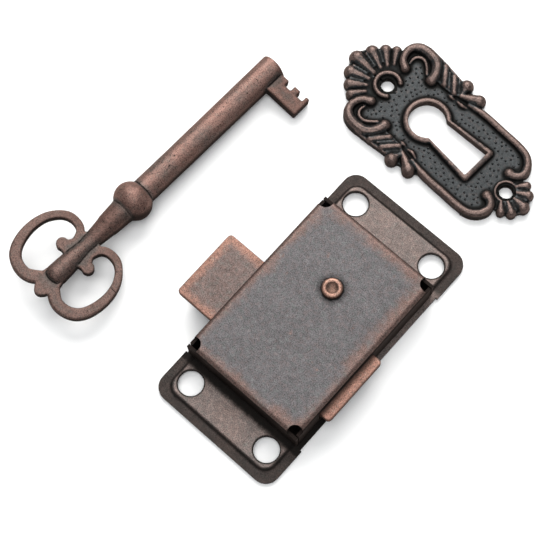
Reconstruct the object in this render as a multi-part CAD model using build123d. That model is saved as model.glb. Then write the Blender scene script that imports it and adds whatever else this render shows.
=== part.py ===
from build123d import *
import math
import os

# Warded cabinet lock with its barrel key and its escutcheon, laid out on a table.
# All sizes are in millimetres. The origin is the centre of the four screw holes, in the plane of
# the base plate's back. +Z points up through the case, +Y runs along the plate and the bolt is
# thrown towards -X.

# Base plate: one pressed sheet with a flat rim and a raised middle, hollow underneath
PLATE_LENGTH = 64.0
PLATE_WIDTH = 32.0
PLATE_CORNER_RADIUS = 4.4
PLATE_SHEET = 0.8
PLATE_RAISE = 0.7
SIDE_RIM_WIDTH = 1.75
END_RIM_WIDTH = 1.9
WAIST_WIDTH = 31.2
PLATFORM_CORNER_RADIUS = 2.7
PLATE_EDGE_ROUND = 0.3
SCREW_SPACING_X = 21.0
SCREW_SPACING_Y = 52.0
SCREW_HOLE_RADIUS = 2.75
SCREW_HOLE_BEVEL = 0.25
KEYHOLE_SHANK_CLEARANCE = 0.4
KEYHOLE_BIT_CLEARANCE = 0.6

# Case cover: one folded sheet that stands over the raised middle of the plate
CASE_LENGTH = 43.0
CASE_TOP = 9.0
CASE_SHEET = 0.7
CASE_BEND_RADIUS = 1.3
CASE_SIDE_CLEARANCE = 0.3
RELIEF_RADIUS = 1.7
RELIEF_DEPTH = 1.6
RELIEF_INSET = 1.05
LUG_WIDTH = 4.0
LUG_OFFSET_X = 6.1
LUG_FOOT_LENGTH = 1.6
LUG_CLEARANCE = 0.2
LUG_SLIT = 0.5

# Key post: a pin riveted in the cover, on which the barrel key turns
POST_X = -0.5
POST_Y = 6.9
POST_RADIUS = 1.4
POST_END = 0.6
POST_TIP_CHAMFER = 0.35
POST_HEAD_RADIUS = 2.12
POST_HEAD_HEIGHT = 0.9
POST_HEAD_ROUND = 0.35
POST_DIMPLE_RADIUS = 0.7
POST_DIMPLE_FLOOR_RADIUS = 0.23
POST_DIMPLE_DEPTH = 0.4
POST_SHOULDER_RADIUS = 2.0
POST_SHOULDER = 0.4
RIVET_CLEARANCE = 0.05

# Ward plate: a disc held between the cover and the post's shoulder, with two curved wards
WARD_SHEET = 0.4
WARD_HEIGHT = 2.0
WARD_THICKNESS = 0.9
WARD_START_DEG = -18.0
WARD_END_DEG = 198.0
WARD_EDGE = 0.6

# Bolt: one bar that passes through both long walls of the case
BOLT_NOSE_REACH = 9.45
BOLT_TAIL_REACH = 1.8
BOLT_Y = -5.9
BOLT_WIDTH = 16.6
BOLT_BOTTOM = 2.2
BOLT_THICKNESS = 5.0
BOLT_NOSE_LENGTH = 7.4
BOLT_NECK_STEP = 0.25
BOLT_EDGE_ROUND = 0.6
BOLT_CORNER_RADIUS = 1.1
BOLT_SLOT_CLEARANCE = 0.12
BOLT_THROW = 9.0
TALON_WIDTH = 12.2
TALON_CLEARANCE = 0.6
TALON_CORNER_RADIUS = 0.8

# Guide stud: riveted in the plate, it runs in a slot of the bolt and holds the bolt down
STUD_X = 1.0
STUD_Y = -9.4
STUD_RADIUS = 1.5
STUD_TENON_RADIUS = 1.0
STUD_HEAD_RADIUS = 2.5
STUD_HEAD_THICKNESS = 0.5
STUD_CLEARANCE = 0.1
RIVET_HEAD_THICKNESS = 0.5
RIVET_HEAD_RADIUS = 1.7

# Detent spring: a leaf on its own post, whose bump drops into one of two nicks in the bolt. The
# post stands a little below the middle of the room between the bolt and the case's end wall.
SPRING_POST_SIDE_GAP = 4.05
SPRING_POST_SET = 0.1
SPRING_POST_RADIUS = 1.2
SPRING_SHEET = 0.45
SPRING_WIDTH = 4.0
SPRING_BOTTOM = 2.5
SPRING_BUMP_X = -3.5
SPRING_BUMP_DEPTH = 0.9
SPRING_BUMP_LENGTH = 1.6
SPRING_TIP_X = -9.0
SPRING_STRAIGHT = 3.0
SPRING_GAP = 0.15
NICK_HALF_WIDTH = 2.6
NICK_DEPTH = 1.3

# Barrel key, cast in one piece. Lengths along its axis are from the middle of the collar.
KEY_X = -45.8
KEY_Y = -5.3
KEY_HEADING_DEG = 88.4
SHANK_LENGTH = 43.5
SHANK_RADIUS = 2.75
SHANK_TIP_ROUND = 0.5
COLLAR_RADIUS = 4.45
COLLAR_LENGTH = 5.9
BARREL_RUNNING_CLEARANCE = 0.08
BARREL_DEPTH = 9.0
BIT_REACH = 11.3
BIT_LENGTH = 4.8
BIT_INSET = 0.8
BIT_THICKNESS = 3.0
BIT_EDGE_ROUND = 0.35
WARD_NOTCH_RADII = (6.05, 9.45)
WARD_NOTCH_WIDTH = 1.7
WARD_NOTCH_DEPTH = 1.4
NECK_RADIUS = 3.0
NECK_FLARE = 0.3
WAIST_RADIUS = 1.3
WAIST_AT = -13.5
CLUB_RADIUS = 2.2
CLUB_AT = -22.8
CLUB_END = -24.6
BOW_THICKNESS = 2.4
BOW_EDGE_BREAK = 0.4
BOW_LOOP = (
    (-25.0, 1.6), (-27.1, 5.0), (-25.9, 8.9), (-21.3, 11.0), (-15.8, 10.5), (-12.3, 7.4),
    (-12.4, 3.4), (-14.9, 2.1), (-17.2, 3.6),
)
BOW_LOOP_WIDTHS = (2.4, 2.6, 2.6, 2.3, 1.8, 1.55, 1.7, 1.8, 1.6)
CURL_RADIUS = 1.3
FINIAL_AT = -27.4
FINIAL_RADIUS = 1.3

# Escutcheon, cast in one piece. Its long axis runs from the upper to the lower screw hole.
ESC_X = -5.63
ESC_Y = 50.09
ESC_HEADING_DEG = -3.5
ESC_PLATE = 1.7
ESC_BACK_POCKET = 0.8
ESC_BACK_MARGIN = 2.0
ESC_HOLE_SPACING = 35.0
ESC_HOLE_RADIUS = 1.5
ESC_COUNTERSINK = 0.55
ESC_RING_WIDTH = 1.4
ESC_RING_HEIGHT = 2.3
ESC_RIM_WIDTH = 1.15
ESC_RIM_HEIGHT = 2.3
ESC_KEYHOLE_AT = -5.4
ESC_KEYHOLE_RADIUS = 4.1
ESC_SLOT_NECK = 2.9
ESC_SLOT_NECK_AT = -2.6
ESC_SLOT_END = 3.5
ESC_SLOT_END_AT = 8.3
FLUTE_HEIGHT = 2.7
FLUTE_ROOT_RADIUS = 2.65
FLUTE_TAPER = 0.55
RELIEF_ROUND = 0.45
UPPER_FLUTE_TIPS = (11.2, 9.8, 9.1, 9.1)
UPPER_FLUTE_STEP_DEG = 20.0
UPPER_FLUTE_RADIUS = 1.5
LOWER_FLUTE_TIPS = (6.5, 5.8, 5.5)
LOWER_FLUTE_STEP_DEG = 30.0
LOWER_FLUTE_RADIUS = 1.25
SCROLL_HEIGHT = 3.0
SCROLL_PATH = ((-17.3, 4.9), (-19.1, 7.2), (-18.2, 10.5), (-15.0, 11.6), (-12.1, 10.0), (-11.2, 6.8))
SCROLL_WIDTHS = (1.6, 2.2, 2.8, 2.8, 2.7, 2.4)
SCROLL_KNOB_RADII = (1.35, 1.55)
RIB_LINES = (((-9.5, 8.3), (-10.1, 10.9)), ((-7.0, 8.3), (-7.5, 10.5)))
RIB_RADIUS = 1.1
BEAD_AT = (-4.9, 11.7)
BEAD_RADIUS = 1.7
DROP_AT = (-0.8, 10.7)
DROP_TAIL_AT = (-4.3, 8.9)
DROP_RADIUS = 1.6
DROP_TAIL_RADIUS = 0.6
BORDER_HEIGHT = 2.3
BORDER_PATH = (
    (-2.0, 8.8), (2.5, 9.25), (8.0, 9.2), (12.8, 9.0), (15.7, 8.0), (17.3, 6.3), (17.1, 4.5), (15.2, 3.4),
)
BORDER_WIDTHS = (1.3, 1.4, 1.4, 1.5, 1.7, 1.8, 1.6, 1.4)
BORDER_KNOB_RADIUS = 1.1

# How finely a band's edges follow its middle line, and how far a cut runs past an edge
BAND_SAMPLES_PER_SPAN = 3
CUT_MARGIN = 1.0

# Worked out from the sizes above
PLATE_TOP = PLATE_RAISE + PLATE_SHEET
PLATFORM_WIDTH = PLATE_WIDTH - 2 * SIDE_RIM_WIDTH
PLATFORM_LENGTH = PLATE_LENGTH - 2 * END_RIM_WIDTH
CASE_WIDTH = PLATFORM_WIDTH + 2 * (CASE_SHEET + CASE_SIDE_CLEARANCE)
CASE_INSIDE_TOP = CASE_TOP - CASE_SHEET
SPRING_POST_X = CASE_WIDTH / 2 - CASE_SHEET - SPRING_POST_SIDE_GAP
SPRING_ROOM_END = -CASE_LENGTH / 2 + CASE_SHEET
SPRING_POST_Y = (BOLT_Y - BOLT_WIDTH / 2 + SPRING_ROOM_END) / 2 - SPRING_POST_SET
BOLT_TOP = BOLT_BOTTOM + BOLT_THICKNESS
BOLT_NOSE_X = -CASE_WIDTH / 2 - BOLT_NOSE_REACH
BOLT_TAIL_X = CASE_WIDTH / 2 + BOLT_TAIL_REACH
BOLT_EDGE_Y = BOLT_Y + BOLT_WIDTH / 2
SHOULDER_BOTTOM = CASE_INSIDE_TOP - WARD_SHEET - POST_SHOULDER
BARREL_RADIUS = POST_RADIUS + BARREL_RUNNING_CLEARANCE
KEYHOLE_RADIUS = SHANK_RADIUS + KEYHOLE_SHANK_CLEARANCE
KEYHOLE_SLOT_WIDTH = BIT_THICKNESS + 2 * KEYHOLE_BIT_CLEARANCE
KEYHOLE_REACH = BIT_REACH + KEYHOLE_BIT_CLEARANCE
SCREW_PLACES = [
    (x * SCREW_SPACING_X / 2, y * SCREW_SPACING_Y / 2) for x in (-1, 1) for y in (-1, 1)
]


def block(x0, x1, y0, y1, z0, z1):
    """A box between two corners."""
    return Pos((x0 + x1) / 2, (y0 + y1) / 2, (z0 + z1) / 2) * Box(x1 - x0, y1 - y0, z1 - z0)


def disc(x, y, radius, z0, z1):
    """An upright cylinder between two heights."""
    return Pos(x, y, (z0 + z1) / 2) * Cylinder(radius, z1 - z0)


def slab(face, z0, z1):
    """A flat face of the XY plane, raised to z0 and thickened to z1."""
    return extrude(Pos(0, 0, z0) * face, z1 - z0, dir=(0, 0, 1))


def tapered_band(points, widths):
    """A flat strip round a smooth line through the points, as wide at each as its width says."""
    line = Spline(*points)
    places = [line.param_at_point(Vector(*point)) for point in points]
    samples = BAND_SAMPLES_PER_SPAN * (len(points) - 1)
    left, right = [], []
    for index in range(samples + 1):
        t = index / samples
        after = next(i for i in range(1, len(places)) if t <= places[i] or i == len(places) - 1)
        share = (t - places[after - 1]) / (places[after] - places[after - 1])
        half = (widths[after - 1] * (1 - share) + widths[after] * share) / 2
        normal = (line % t).rotate(Axis.Z, 90) * half
        left.append(line @ t + normal)
        right.append(line @ t - normal)
    edges = [Spline(*left), Line(left[-1], right[-1]), Spline(*reversed(right)), Line(right[0], left[0])]
    return make_face(edges)


def capsule(start, end, start_radius, end_radius):
    """The flat outline round two circles and the tapered strip between them."""
    (x0, y0), (x1, y1) = start, end
    length = math.hypot(x1 - x0, y1 - y0)
    nx, ny = (y0 - y1) / length, (x1 - x0) / length
    strip = Polygon(
        (x0 + nx * start_radius, y0 + ny * start_radius),
        (x0 - nx * start_radius, y0 - ny * start_radius),
        (x1 - nx * end_radius, y1 - ny * end_radius),
        (x1 + nx * end_radius, y1 + ny * end_radius),
        align=None,
    )
    return Pos(x0, y0) * Circle(start_radius) + Pos(x1, y1) * Circle(end_radius) + strip


def raised(face, height, edge_round):
    """A flat face thickened up to a height, with its upper edges rounded."""
    solid = slab(face, 0, height)
    return fillet(solid.edges().group_by(Axis.Z)[-1], edge_round)


def both_sides(shape):
    """The shape and its mirror image across the local X axis."""
    return shape + mirror(shape, about=Plane.XZ)


def lug_places():
    """Middles of the four lugs, with the side of the case they are on."""
    return [(x * LUG_OFFSET_X, y) for x in (-1, 1) for y in (-1, 1)]


def base_plate():
    outline = RectangleRounded(PLATE_WIDTH, PLATE_LENGTH, PLATE_CORNER_RADIUS)
    outer_raise = RectangleRounded(PLATFORM_WIDTH, PLATFORM_LENGTH, PLATFORM_CORNER_RADIUS)
    inner_raise = RectangleRounded(
        PLATFORM_WIDTH - 2 * PLATE_SHEET,
        PLATFORM_LENGTH - 2 * PLATE_SHEET,
        PLATFORM_CORNER_RADIUS - PLATE_SHEET,
    )
    rim = slab(outline, 0, PLATE_SHEET)
    rim = fillet(rim.edges().group_by(Axis.Z)[-1], PLATE_EDGE_ROUND)
    raised = slab(outer_raise, 0, PLATE_TOP)
    raised = fillet(raised.edges().group_by(Axis.Z)[-1], PLATE_EDGE_ROUND)
    plate = rim + raised - slab(inner_raise, 0, PLATE_RAISE)
    half_case = CASE_LENGTH / 2
    for side in (-1, 1):
        edge = sorted((side * WAIST_WIDTH / 2, side * PLATE_WIDTH))
        plate -= block(*edge, -half_case, half_case, 0, PLATE_TOP)
    for x, y in SCREW_PLACES:
        plate -= disc(x, y, SCREW_HOLE_RADIUS, 0, PLATE_TOP)
        plate -= Pos(x, y, PLATE_TOP - SCREW_HOLE_BEVEL / 2) * Cone(
            SCREW_HOLE_RADIUS, SCREW_HOLE_RADIUS + SCREW_HOLE_BEVEL, SCREW_HOLE_BEVEL
        )
    plate -= disc(POST_X, POST_Y, KEYHOLE_RADIUS, 0, PLATE_TOP)
    half_slot = KEYHOLE_SLOT_WIDTH / 2
    plate -= block(
        POST_X - half_slot, POST_X + half_slot, POST_Y, POST_Y + KEYHOLE_REACH, 0, PLATE_TOP
    )
    plate -= disc(STUD_X, STUD_Y, STUD_TENON_RADIUS + RIVET_CLEARANCE, 0, PLATE_TOP)
    plate -= disc(SPRING_POST_X, SPRING_POST_Y, STUD_TENON_RADIUS + RIVET_CLEARANCE, 0, PLATE_TOP)
    half_lug = LUG_WIDTH / 2 + LUG_CLEARANCE
    for x, side in lug_places():
        wall = sorted((
            side * (half_case - CASE_SHEET - LUG_CLEARANCE), side * (half_case + LUG_SLIT),
        ))
        plate -= block(x - half_lug, x + half_lug, *wall, 0, PLATE_TOP)
    return plate


def case_cover():
    half_x, half_y = CASE_WIDTH / 2, CASE_LENGTH / 2
    shell = block(-half_x, half_x, -half_y, half_y, PLATE_SHEET, CASE_TOP)
    shell = fillet(shell.edges().group_by(Axis.Z)[-1], CASE_BEND_RADIUS)
    hollow = block(
        -half_x + CASE_SHEET, half_x - CASE_SHEET, -half_y + CASE_SHEET, half_y - CASE_SHEET,
        PLATE_SHEET, CASE_INSIDE_TOP,
    )
    hollow = fillet(hollow.edges().group_by(Axis.Z)[-1], CASE_BEND_RADIUS - CASE_SHEET)
    cover = shell - hollow
    for side in (-1, 1):
        wall = sorted((side * (half_y - CASE_SHEET), side * half_y))
        cover -= block(-half_x, half_x, *wall, PLATE_SHEET, PLATE_TOP)
    lip = CASE_TOP - RELIEF_DEPTH
    for x in (-1, 1):
        for y in (-1, 1):
            cx, cy = x * (half_x - RELIEF_INSET), y * (half_y - RELIEF_INSET)
            cover -= disc(cx, cy, RELIEF_RADIUS, lip, CASE_TOP)
            cover -= block(*sorted((cx, x * half_x)), *sorted((cy, y * half_y)), lip, CASE_TOP)
    for x, side in lug_places():
        wall = sorted((side * (half_y - CASE_SHEET), side * half_y))
        foot = sorted((side * (half_y - CASE_SHEET), side * (half_y - LUG_FOOT_LENGTH)))
        left, right = x - LUG_WIDTH / 2, x + LUG_WIDTH / 2
        foot_bottom = PLATE_RAISE - RIVET_HEAD_THICKNESS
        cover += block(left, right, *wall, foot_bottom, PLATE_TOP)
        cover += block(left, right, *foot, foot_bottom, PLATE_RAISE)
    slot = BOLT_WIDTH / 2 + BOLT_SLOT_CLEARANCE
    cover -= block(
        -half_x - CASE_SHEET, half_x + CASE_SHEET, BOLT_Y - slot, BOLT_Y + slot,
        BOLT_BOTTOM - BOLT_SLOT_CLEARANCE, BOLT_TOP + BOLT_SLOT_CLEARANCE,
    )
    cover -= disc(POST_X, POST_Y, POST_RADIUS + RIVET_CLEARANCE, CASE_INSIDE_TOP, CASE_TOP)
    return cover


def key_post():
    head = disc(POST_X, POST_Y, POST_HEAD_RADIUS, CASE_TOP, CASE_TOP + POST_HEAD_HEIGHT)
    head = fillet(head.edges().group_by(Axis.Z)[-1], POST_HEAD_ROUND)
    dimple = Pos(POST_X, POST_Y, CASE_TOP + POST_HEAD_HEIGHT - POST_DIMPLE_DEPTH / 2)
    head -= dimple * Cone(POST_DIMPLE_FLOOR_RADIUS, POST_DIMPLE_RADIUS, POST_DIMPLE_DEPTH)
    pin = disc(POST_X, POST_Y, POST_RADIUS, POST_END, CASE_TOP)
    pin = chamfer(pin.edges().group_by(Axis.Z)[0], POST_TIP_CHAMFER)
    shoulder = disc(
        POST_X, POST_Y, POST_SHOULDER_RADIUS, SHOULDER_BOTTOM, SHOULDER_BOTTOM + POST_SHOULDER
    )
    return pin + head + shoulder


def ward_sector(radius):
    """A pie slice that holds the wards' share of a turn, as a flat face."""
    start, end = math.radians(WARD_START_DEG), math.radians(WARD_END_DEG)
    middle = (start + end) / 2
    points = [(0, 0)]
    for angle in (start, (start + middle) / 2, middle, (middle + end) / 2, end):
        points.append((2 * radius * math.cos(angle), 2 * radius * math.sin(angle)))
    return Pos(POST_X, POST_Y) * Polygon(*points, align=None)


def ward_plate():
    outer_radius = WARD_NOTCH_RADII[-1] + WARD_THICKNESS / 2 + WARD_EDGE
    sector = ward_sector(outer_radius)
    plan = (Pos(POST_X, POST_Y) * Circle(outer_radius)) & sector
    plan += Pos(POST_X, POST_Y) * Circle(POST_SHOULDER_RADIUS + WARD_EDGE)
    plan -= Pos(POST_X, POST_Y) * Circle(POST_RADIUS + RIVET_CLEARANCE)
    plate = slab(plan, CASE_INSIDE_TOP - WARD_SHEET, CASE_INSIDE_TOP)
    for radius in WARD_NOTCH_RADII:
        ring = Circle(radius + WARD_THICKNESS / 2) - Circle(radius - WARD_THICKNESS / 2)
        ward = (Pos(POST_X, POST_Y) * ring) & sector
        plate += slab(ward, CASE_INSIDE_TOP - WARD_SHEET - WARD_HEIGHT, CASE_INSIDE_TOP - WARD_SHEET)
    return plate


def bolt():
    half = BOLT_WIDTH / 2
    neck_x = BOLT_NOSE_X + BOLT_NOSE_LENGTH
    nose = block(BOLT_NOSE_X, neck_x, BOLT_Y - half, BOLT_Y + half, BOLT_BOTTOM, BOLT_TOP)
    nose = fillet(nose.edges().filter_by(Axis.Z).group_by(Axis.X)[0], BOLT_CORNER_RADIUS)
    nose = fillet(nose.edges().group_by(Axis.Z)[-1], BOLT_EDGE_ROUND)
    neck = half - BOLT_NECK_STEP
    body = block(neck_x, BOLT_TAIL_X, BOLT_Y - neck, BOLT_Y + neck, BOLT_BOTTOM, BOLT_TOP)
    body = fillet(body.edges().filter_by(Axis.Z).group_by(Axis.X)[-1], BOLT_CORNER_RADIUS)
    body = fillet(body.edges().filter_by(Axis.Y).group_by(Axis.X)[-1], BOLT_EDGE_ROUND)
    bar = nose + body
    talon_x = POST_X - BOLT_THROW / 2
    talon_bottom = POST_Y - BIT_REACH - TALON_CLEARANCE
    talon = block(
        talon_x - TALON_WIDTH / 2, talon_x + TALON_WIDTH / 2, talon_bottom, BOLT_EDGE_Y + CUT_MARGIN,
        BOLT_BOTTOM, BOLT_TOP,
    )
    talon = fillet(talon.edges().filter_by(Axis.Z).group_by(Axis.Y)[0], TALON_CORNER_RADIUS)
    slot = capsule(
        (STUD_X - BOLT_THROW, STUD_Y), (STUD_X, STUD_Y),
        STUD_RADIUS + STUD_CLEARANCE, STUD_RADIUS + STUD_CLEARANCE,
    )
    bar = bar - talon - slab(slot, BOLT_BOTTOM, BOLT_TOP)
    edge_y = BOLT_Y - neck
    for x in (SPRING_BUMP_X, SPRING_BUMP_X - BOLT_THROW):
        nick = Polygon(
            (x - NICK_HALF_WIDTH, edge_y), (x, edge_y + NICK_DEPTH),
            (x + NICK_HALF_WIDTH, edge_y), (x, edge_y - CUT_MARGIN), align=None,
        )
        bar -= slab(nick, BOLT_BOTTOM, BOLT_TOP)
    return bar


def rivet_tenon(x, y):
    """The part of a stud that passes through the plate, with its head peened over underneath."""
    tenon = disc(x, y, STUD_TENON_RADIUS, PLATE_RAISE - RIVET_HEAD_THICKNESS, PLATE_TOP)
    return tenon + disc(x, y, RIVET_HEAD_RADIUS, PLATE_RAISE - RIVET_HEAD_THICKNESS, PLATE_RAISE)


def guide_stud():
    flange_bottom = BOLT_TOP + 2 * STUD_CLEARANCE
    shank = disc(STUD_X, STUD_Y, STUD_RADIUS, PLATE_TOP, flange_bottom)
    flange = disc(STUD_X, STUD_Y, STUD_HEAD_RADIUS, flange_bottom, flange_bottom + STUD_HEAD_THICKNESS)
    return rivet_tenon(STUD_X, STUD_Y) + shank + flange


def spring_post():
    shank = disc(
        SPRING_POST_X, SPRING_POST_Y, SPRING_POST_RADIUS, PLATE_TOP, SPRING_BOTTOM + SPRING_WIDTH
    )
    return rivet_tenon(SPRING_POST_X, SPRING_POST_Y) + shank


def detent_spring():
    eye_radius = SPRING_POST_RADIUS + RIVET_CLEARANCE + SPRING_SHEET / 2
    edge_y = BOLT_Y - BOLT_WIDTH / 2 + BOLT_NECK_STEP
    leaf_y = edge_y - SPRING_GAP - SPRING_SHEET / 2
    bump_y = leaf_y + SPRING_BUMP_DEPTH
    top_of_eye = SPRING_POST_Y + eye_radius
    path = Polyline(
        (SPRING_POST_X, top_of_eye),
        (SPRING_POST_X - SPRING_STRAIGHT, top_of_eye),
        (SPRING_BUMP_X + SPRING_BUMP_LENGTH, leaf_y),
        (SPRING_BUMP_X, bump_y),
        (SPRING_BUMP_X - SPRING_BUMP_LENGTH, leaf_y),
        (SPRING_TIP_X, leaf_y - SPRING_BUMP_DEPTH),
    )
    leaf = trace(path, SPRING_SHEET)
    eye = Circle(eye_radius + SPRING_SHEET / 2) - Circle(eye_radius - SPRING_SHEET / 2)
    opening = Pos(0, -eye_radius) * Rectangle(SPRING_SHEET, 2 * eye_radius)
    eye = Pos(SPRING_POST_X, SPRING_POST_Y) * (eye - opening)
    return slab(leaf + eye, SPRING_BOTTOM, SPRING_BOTTOM + SPRING_WIDTH)


def key_turned_parts():
    """Shank, collar, neck and club, turned about the key's axis (local X)."""
    half_collar = COLLAR_LENGTH / 2
    with_collar = Line((CLUB_END, 0), (SHANK_LENGTH, 0))
    tip = SHANK_LENGTH - SHANK_TIP_ROUND
    outline = [
        Spline((CLUB_END, 0), (CLUB_AT, CLUB_RADIUS), tangents=((0, 1), (1, 0))),
        Spline(
            (CLUB_AT, CLUB_RADIUS), (WAIST_AT, WAIST_RADIUS), (-half_collar, NECK_RADIUS),
            tangents=((1, 0), (1, NECK_FLARE)),
        ),
        ThreePointArc((-half_collar, NECK_RADIUS), (0, COLLAR_RADIUS), (half_collar, SHANK_RADIUS)),
        Line((half_collar, SHANK_RADIUS), (tip, SHANK_RADIUS)),
        RadiusArc(
            (tip, SHANK_RADIUS), (SHANK_LENGTH, SHANK_RADIUS - SHANK_TIP_ROUND), SHANK_TIP_ROUND
        ),
        Line((SHANK_LENGTH, SHANK_RADIUS - SHANK_TIP_ROUND), (SHANK_LENGTH, 0)),
    ]
    return revolve(make_face(outline + [with_collar]), Axis.X)


def key_bit():
    end = SHANK_LENGTH - BIT_INSET
    half = BIT_THICKNESS / 2
    bit = block(end - BIT_LENGTH, end, -BIT_REACH, 0, -half, half)
    for radius in WARD_NOTCH_RADII:
        bit -= block(
            end - WARD_NOTCH_DEPTH, end, -radius - WARD_NOTCH_WIDTH / 2,
            -radius + WARD_NOTCH_WIDTH / 2, -half, half,
        )
    return fillet(bit.edges().group_by(Axis.Z)[0] + bit.edges().group_by(Axis.Z)[-1], BIT_EDGE_ROUND)


def key_bow():
    """The two curled loops and the finial, flat on both faces with broken edges."""
    loop = tapered_band(BOW_LOOP, BOW_LOOP_WIDTHS) + Pos(*BOW_LOOP[-1]) * Circle(CURL_RADIUS)
    finial = capsule((CLUB_AT, 0), (FINIAL_AT, 0), CLUB_RADIUS, FINIAL_RADIUS)
    bow = slab(both_sides(loop) + finial, -BOW_THICKNESS / 2, BOW_THICKNESS / 2)
    return chamfer(bow.edges().group_by(Axis.Z)[0] + bow.edges().group_by(Axis.Z)[-1], BOW_EDGE_BREAK)


def key_rest_turn():
    """How the key tips and rolls until its collar, its tip and its bit all touch the table."""
    pitch = math.asin((COLLAR_RADIUS - SHANK_RADIUS) / SHANK_LENGTH)
    bit_end = SHANK_LENGTH - BIT_INSET
    height = SHANK_RADIUS + (SHANK_LENGTH - bit_end) * math.sin(pitch)
    corner = math.hypot(BIT_REACH, BIT_THICKNESS / 2)
    roll = math.asin(height / corner) - math.atan2(BIT_THICKNESS / 2, BIT_REACH)
    turn = Rot(Z=KEY_HEADING_DEG) * Rot(Y=math.degrees(pitch)) * Rot(X=math.degrees(roll))
    return turn


def key():
    body = key_turned_parts() + key_bit() + key_bow()
    bore_end = SHANK_LENGTH - BARREL_DEPTH
    bore = Rot(Y=90) * Cylinder(BARREL_RADIUS, BARREL_DEPTH)
    body -= Pos((SHANK_LENGTH + bore_end) / 2, 0, 0) * bore
    turned = key_rest_turn() * body
    return Pos(KEY_X, KEY_Y, -turned.bounding_box().min.Z) * turned


def keyhole(grow):
    """The escutcheon's keyhole as a flat face, grown by a margin all round."""
    round_part = Pos(ESC_KEYHOLE_AT, 0) * Circle(ESC_KEYHOLE_RADIUS + grow)
    slot = Polygon(
        (ESC_KEYHOLE_AT, -ESC_SLOT_NECK - grow), (ESC_SLOT_NECK_AT, -ESC_SLOT_NECK - grow),
        (ESC_SLOT_END_AT + grow, -ESC_SLOT_END - grow), (ESC_SLOT_END_AT + grow, ESC_SLOT_END + grow),
        (ESC_SLOT_NECK_AT, ESC_SLOT_NECK + grow), (ESC_KEYHOLE_AT, ESC_SLOT_NECK + grow),
        align=None,
    )
    return round_part + slot


def flutes(centre_x, direction, tips, step_deg, radius):
    """A fan of flutes round a screw hole, the middle one on the long axis, as flat outlines."""
    fan = []
    for index, tip in enumerate(tips):
        for side in ((1,) if index == 0 else (-1, 1)):
            angle = math.radians(side * index * step_deg)
            dx, dy = direction * math.cos(angle), math.sin(angle)
            root = (centre_x + dx * FLUTE_ROOT_RADIUS, dy * FLUTE_ROOT_RADIUS)
            end = (centre_x + dx * (tip - radius), dy * (tip - radius))
            fan.append(capsule(root, end, radius * FLUTE_TAPER, radius))
    return fan


def scroll_plans():
    """One side's scroll with its two knobs, ribs, bead and drop, as flat outlines."""
    plans = [tapered_band(SCROLL_PATH, SCROLL_WIDTHS)]
    plans.append(Pos(*SCROLL_PATH[0]) * Circle(SCROLL_KNOB_RADII[0]))
    plans.append(Pos(*SCROLL_PATH[-1]) * Circle(SCROLL_KNOB_RADII[1]))
    for start, end in RIB_LINES:
        plans.append(capsule(start, end, RIB_RADIUS, RIB_RADIUS))
    plans.append(Pos(*BEAD_AT) * Circle(BEAD_RADIUS))
    plans.append(capsule(DROP_AT, DROP_TAIL_AT, DROP_RADIUS, DROP_TAIL_RADIUS))
    return plans


def border_plans():
    """One side's long border and the knob that it ends in, as flat outlines."""
    knob = Pos(*BORDER_PATH[-1]) * Circle(BORDER_KNOB_RADIUS)
    return [tapered_band(BORDER_PATH, BORDER_WIDTHS), knob]


def field_plan():
    """The flat ground of the escutcheon inside its scrolls and borders."""
    half = [SCROLL_PATH[0], SCROLL_PATH[1], SCROLL_PATH[2], BEAD_AT, DROP_AT] + list(BORDER_PATH[1:])
    upper = -ESC_HOLE_SPACING / 2
    lower = ESC_HOLE_SPACING / 2
    outline = [(upper, 0)] + half + [(lower, 0)]
    outline += [(x, -y) for x, y in reversed(half)]
    return Polygon(*outline, align=None)


def back_pocket():
    """The hollow in the escutcheon's back, which leaves a boss round each screw hole."""
    plan = offset(field_plan(), -ESC_BACK_MARGIN)
    for x in (-ESC_HOLE_SPACING / 2, ESC_HOLE_SPACING / 2):
        plan -= Pos(x, 0) * Circle(ESC_HOLE_RADIUS + ESC_RING_WIDTH)
    return slab(plan, 0, ESC_BACK_POCKET)


def escutcheon():
    screw_places = (-ESC_HOLE_SPACING / 2, ESC_HOLE_SPACING / 2)
    upper, lower = screw_places
    fans = flutes(upper, -1, UPPER_FLUTE_TIPS, UPPER_FLUTE_STEP_DEG, UPPER_FLUTE_RADIUS)
    fans += flutes(lower, 1, LOWER_FLUTE_TIPS, LOWER_FLUTE_STEP_DEG, LOWER_FLUTE_RADIUS)
    ring_radius = ESC_HOLE_RADIUS + ESC_RING_WIDTH
    body = slab(field_plan(), 0, ESC_PLATE)
    for flute in fans:
        body += raised(flute, FLUTE_HEIGHT, RELIEF_ROUND)
    for plan in scroll_plans():
        body += both_sides(raised(plan, SCROLL_HEIGHT, RELIEF_ROUND))
    for plan in border_plans():
        body += both_sides(raised(plan, BORDER_HEIGHT, RELIEF_ROUND))
    body += slab(keyhole(ESC_RIM_WIDTH), 0, ESC_RIM_HEIGHT)
    for x in screw_places:
        body += disc(x, 0, ring_radius, 0, ESC_RING_HEIGHT)
        body -= disc(x, 0, ring_radius, ESC_RING_HEIGHT, SCROLL_HEIGHT)
        body -= disc(x, 0, ESC_HOLE_RADIUS, 0, SCROLL_HEIGHT)
        body -= Pos(x, 0, ESC_RING_HEIGHT - ESC_COUNTERSINK / 2) * Cone(
            ESC_HOLE_RADIUS, ESC_HOLE_RADIUS + ESC_COUNTERSINK, ESC_COUNTERSINK
        )
    body = body - slab(keyhole(0), 0, SCROLL_HEIGHT) - back_pocket()
    return Pos(ESC_X, ESC_Y) * Rot(Z=ESC_HEADING_DEG) * body


PARTS = {
    "base_plate": base_plate,
    "case_cover": case_cover,
    "key_post": key_post,
    "ward_plate": ward_plate,
    "bolt": bolt,
    "guide_stud": guide_stud,
    "spring_post": spring_post,
    "detent_spring": detent_spring,
    "key": key,
    "escutcheon": escutcheon,
}

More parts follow.
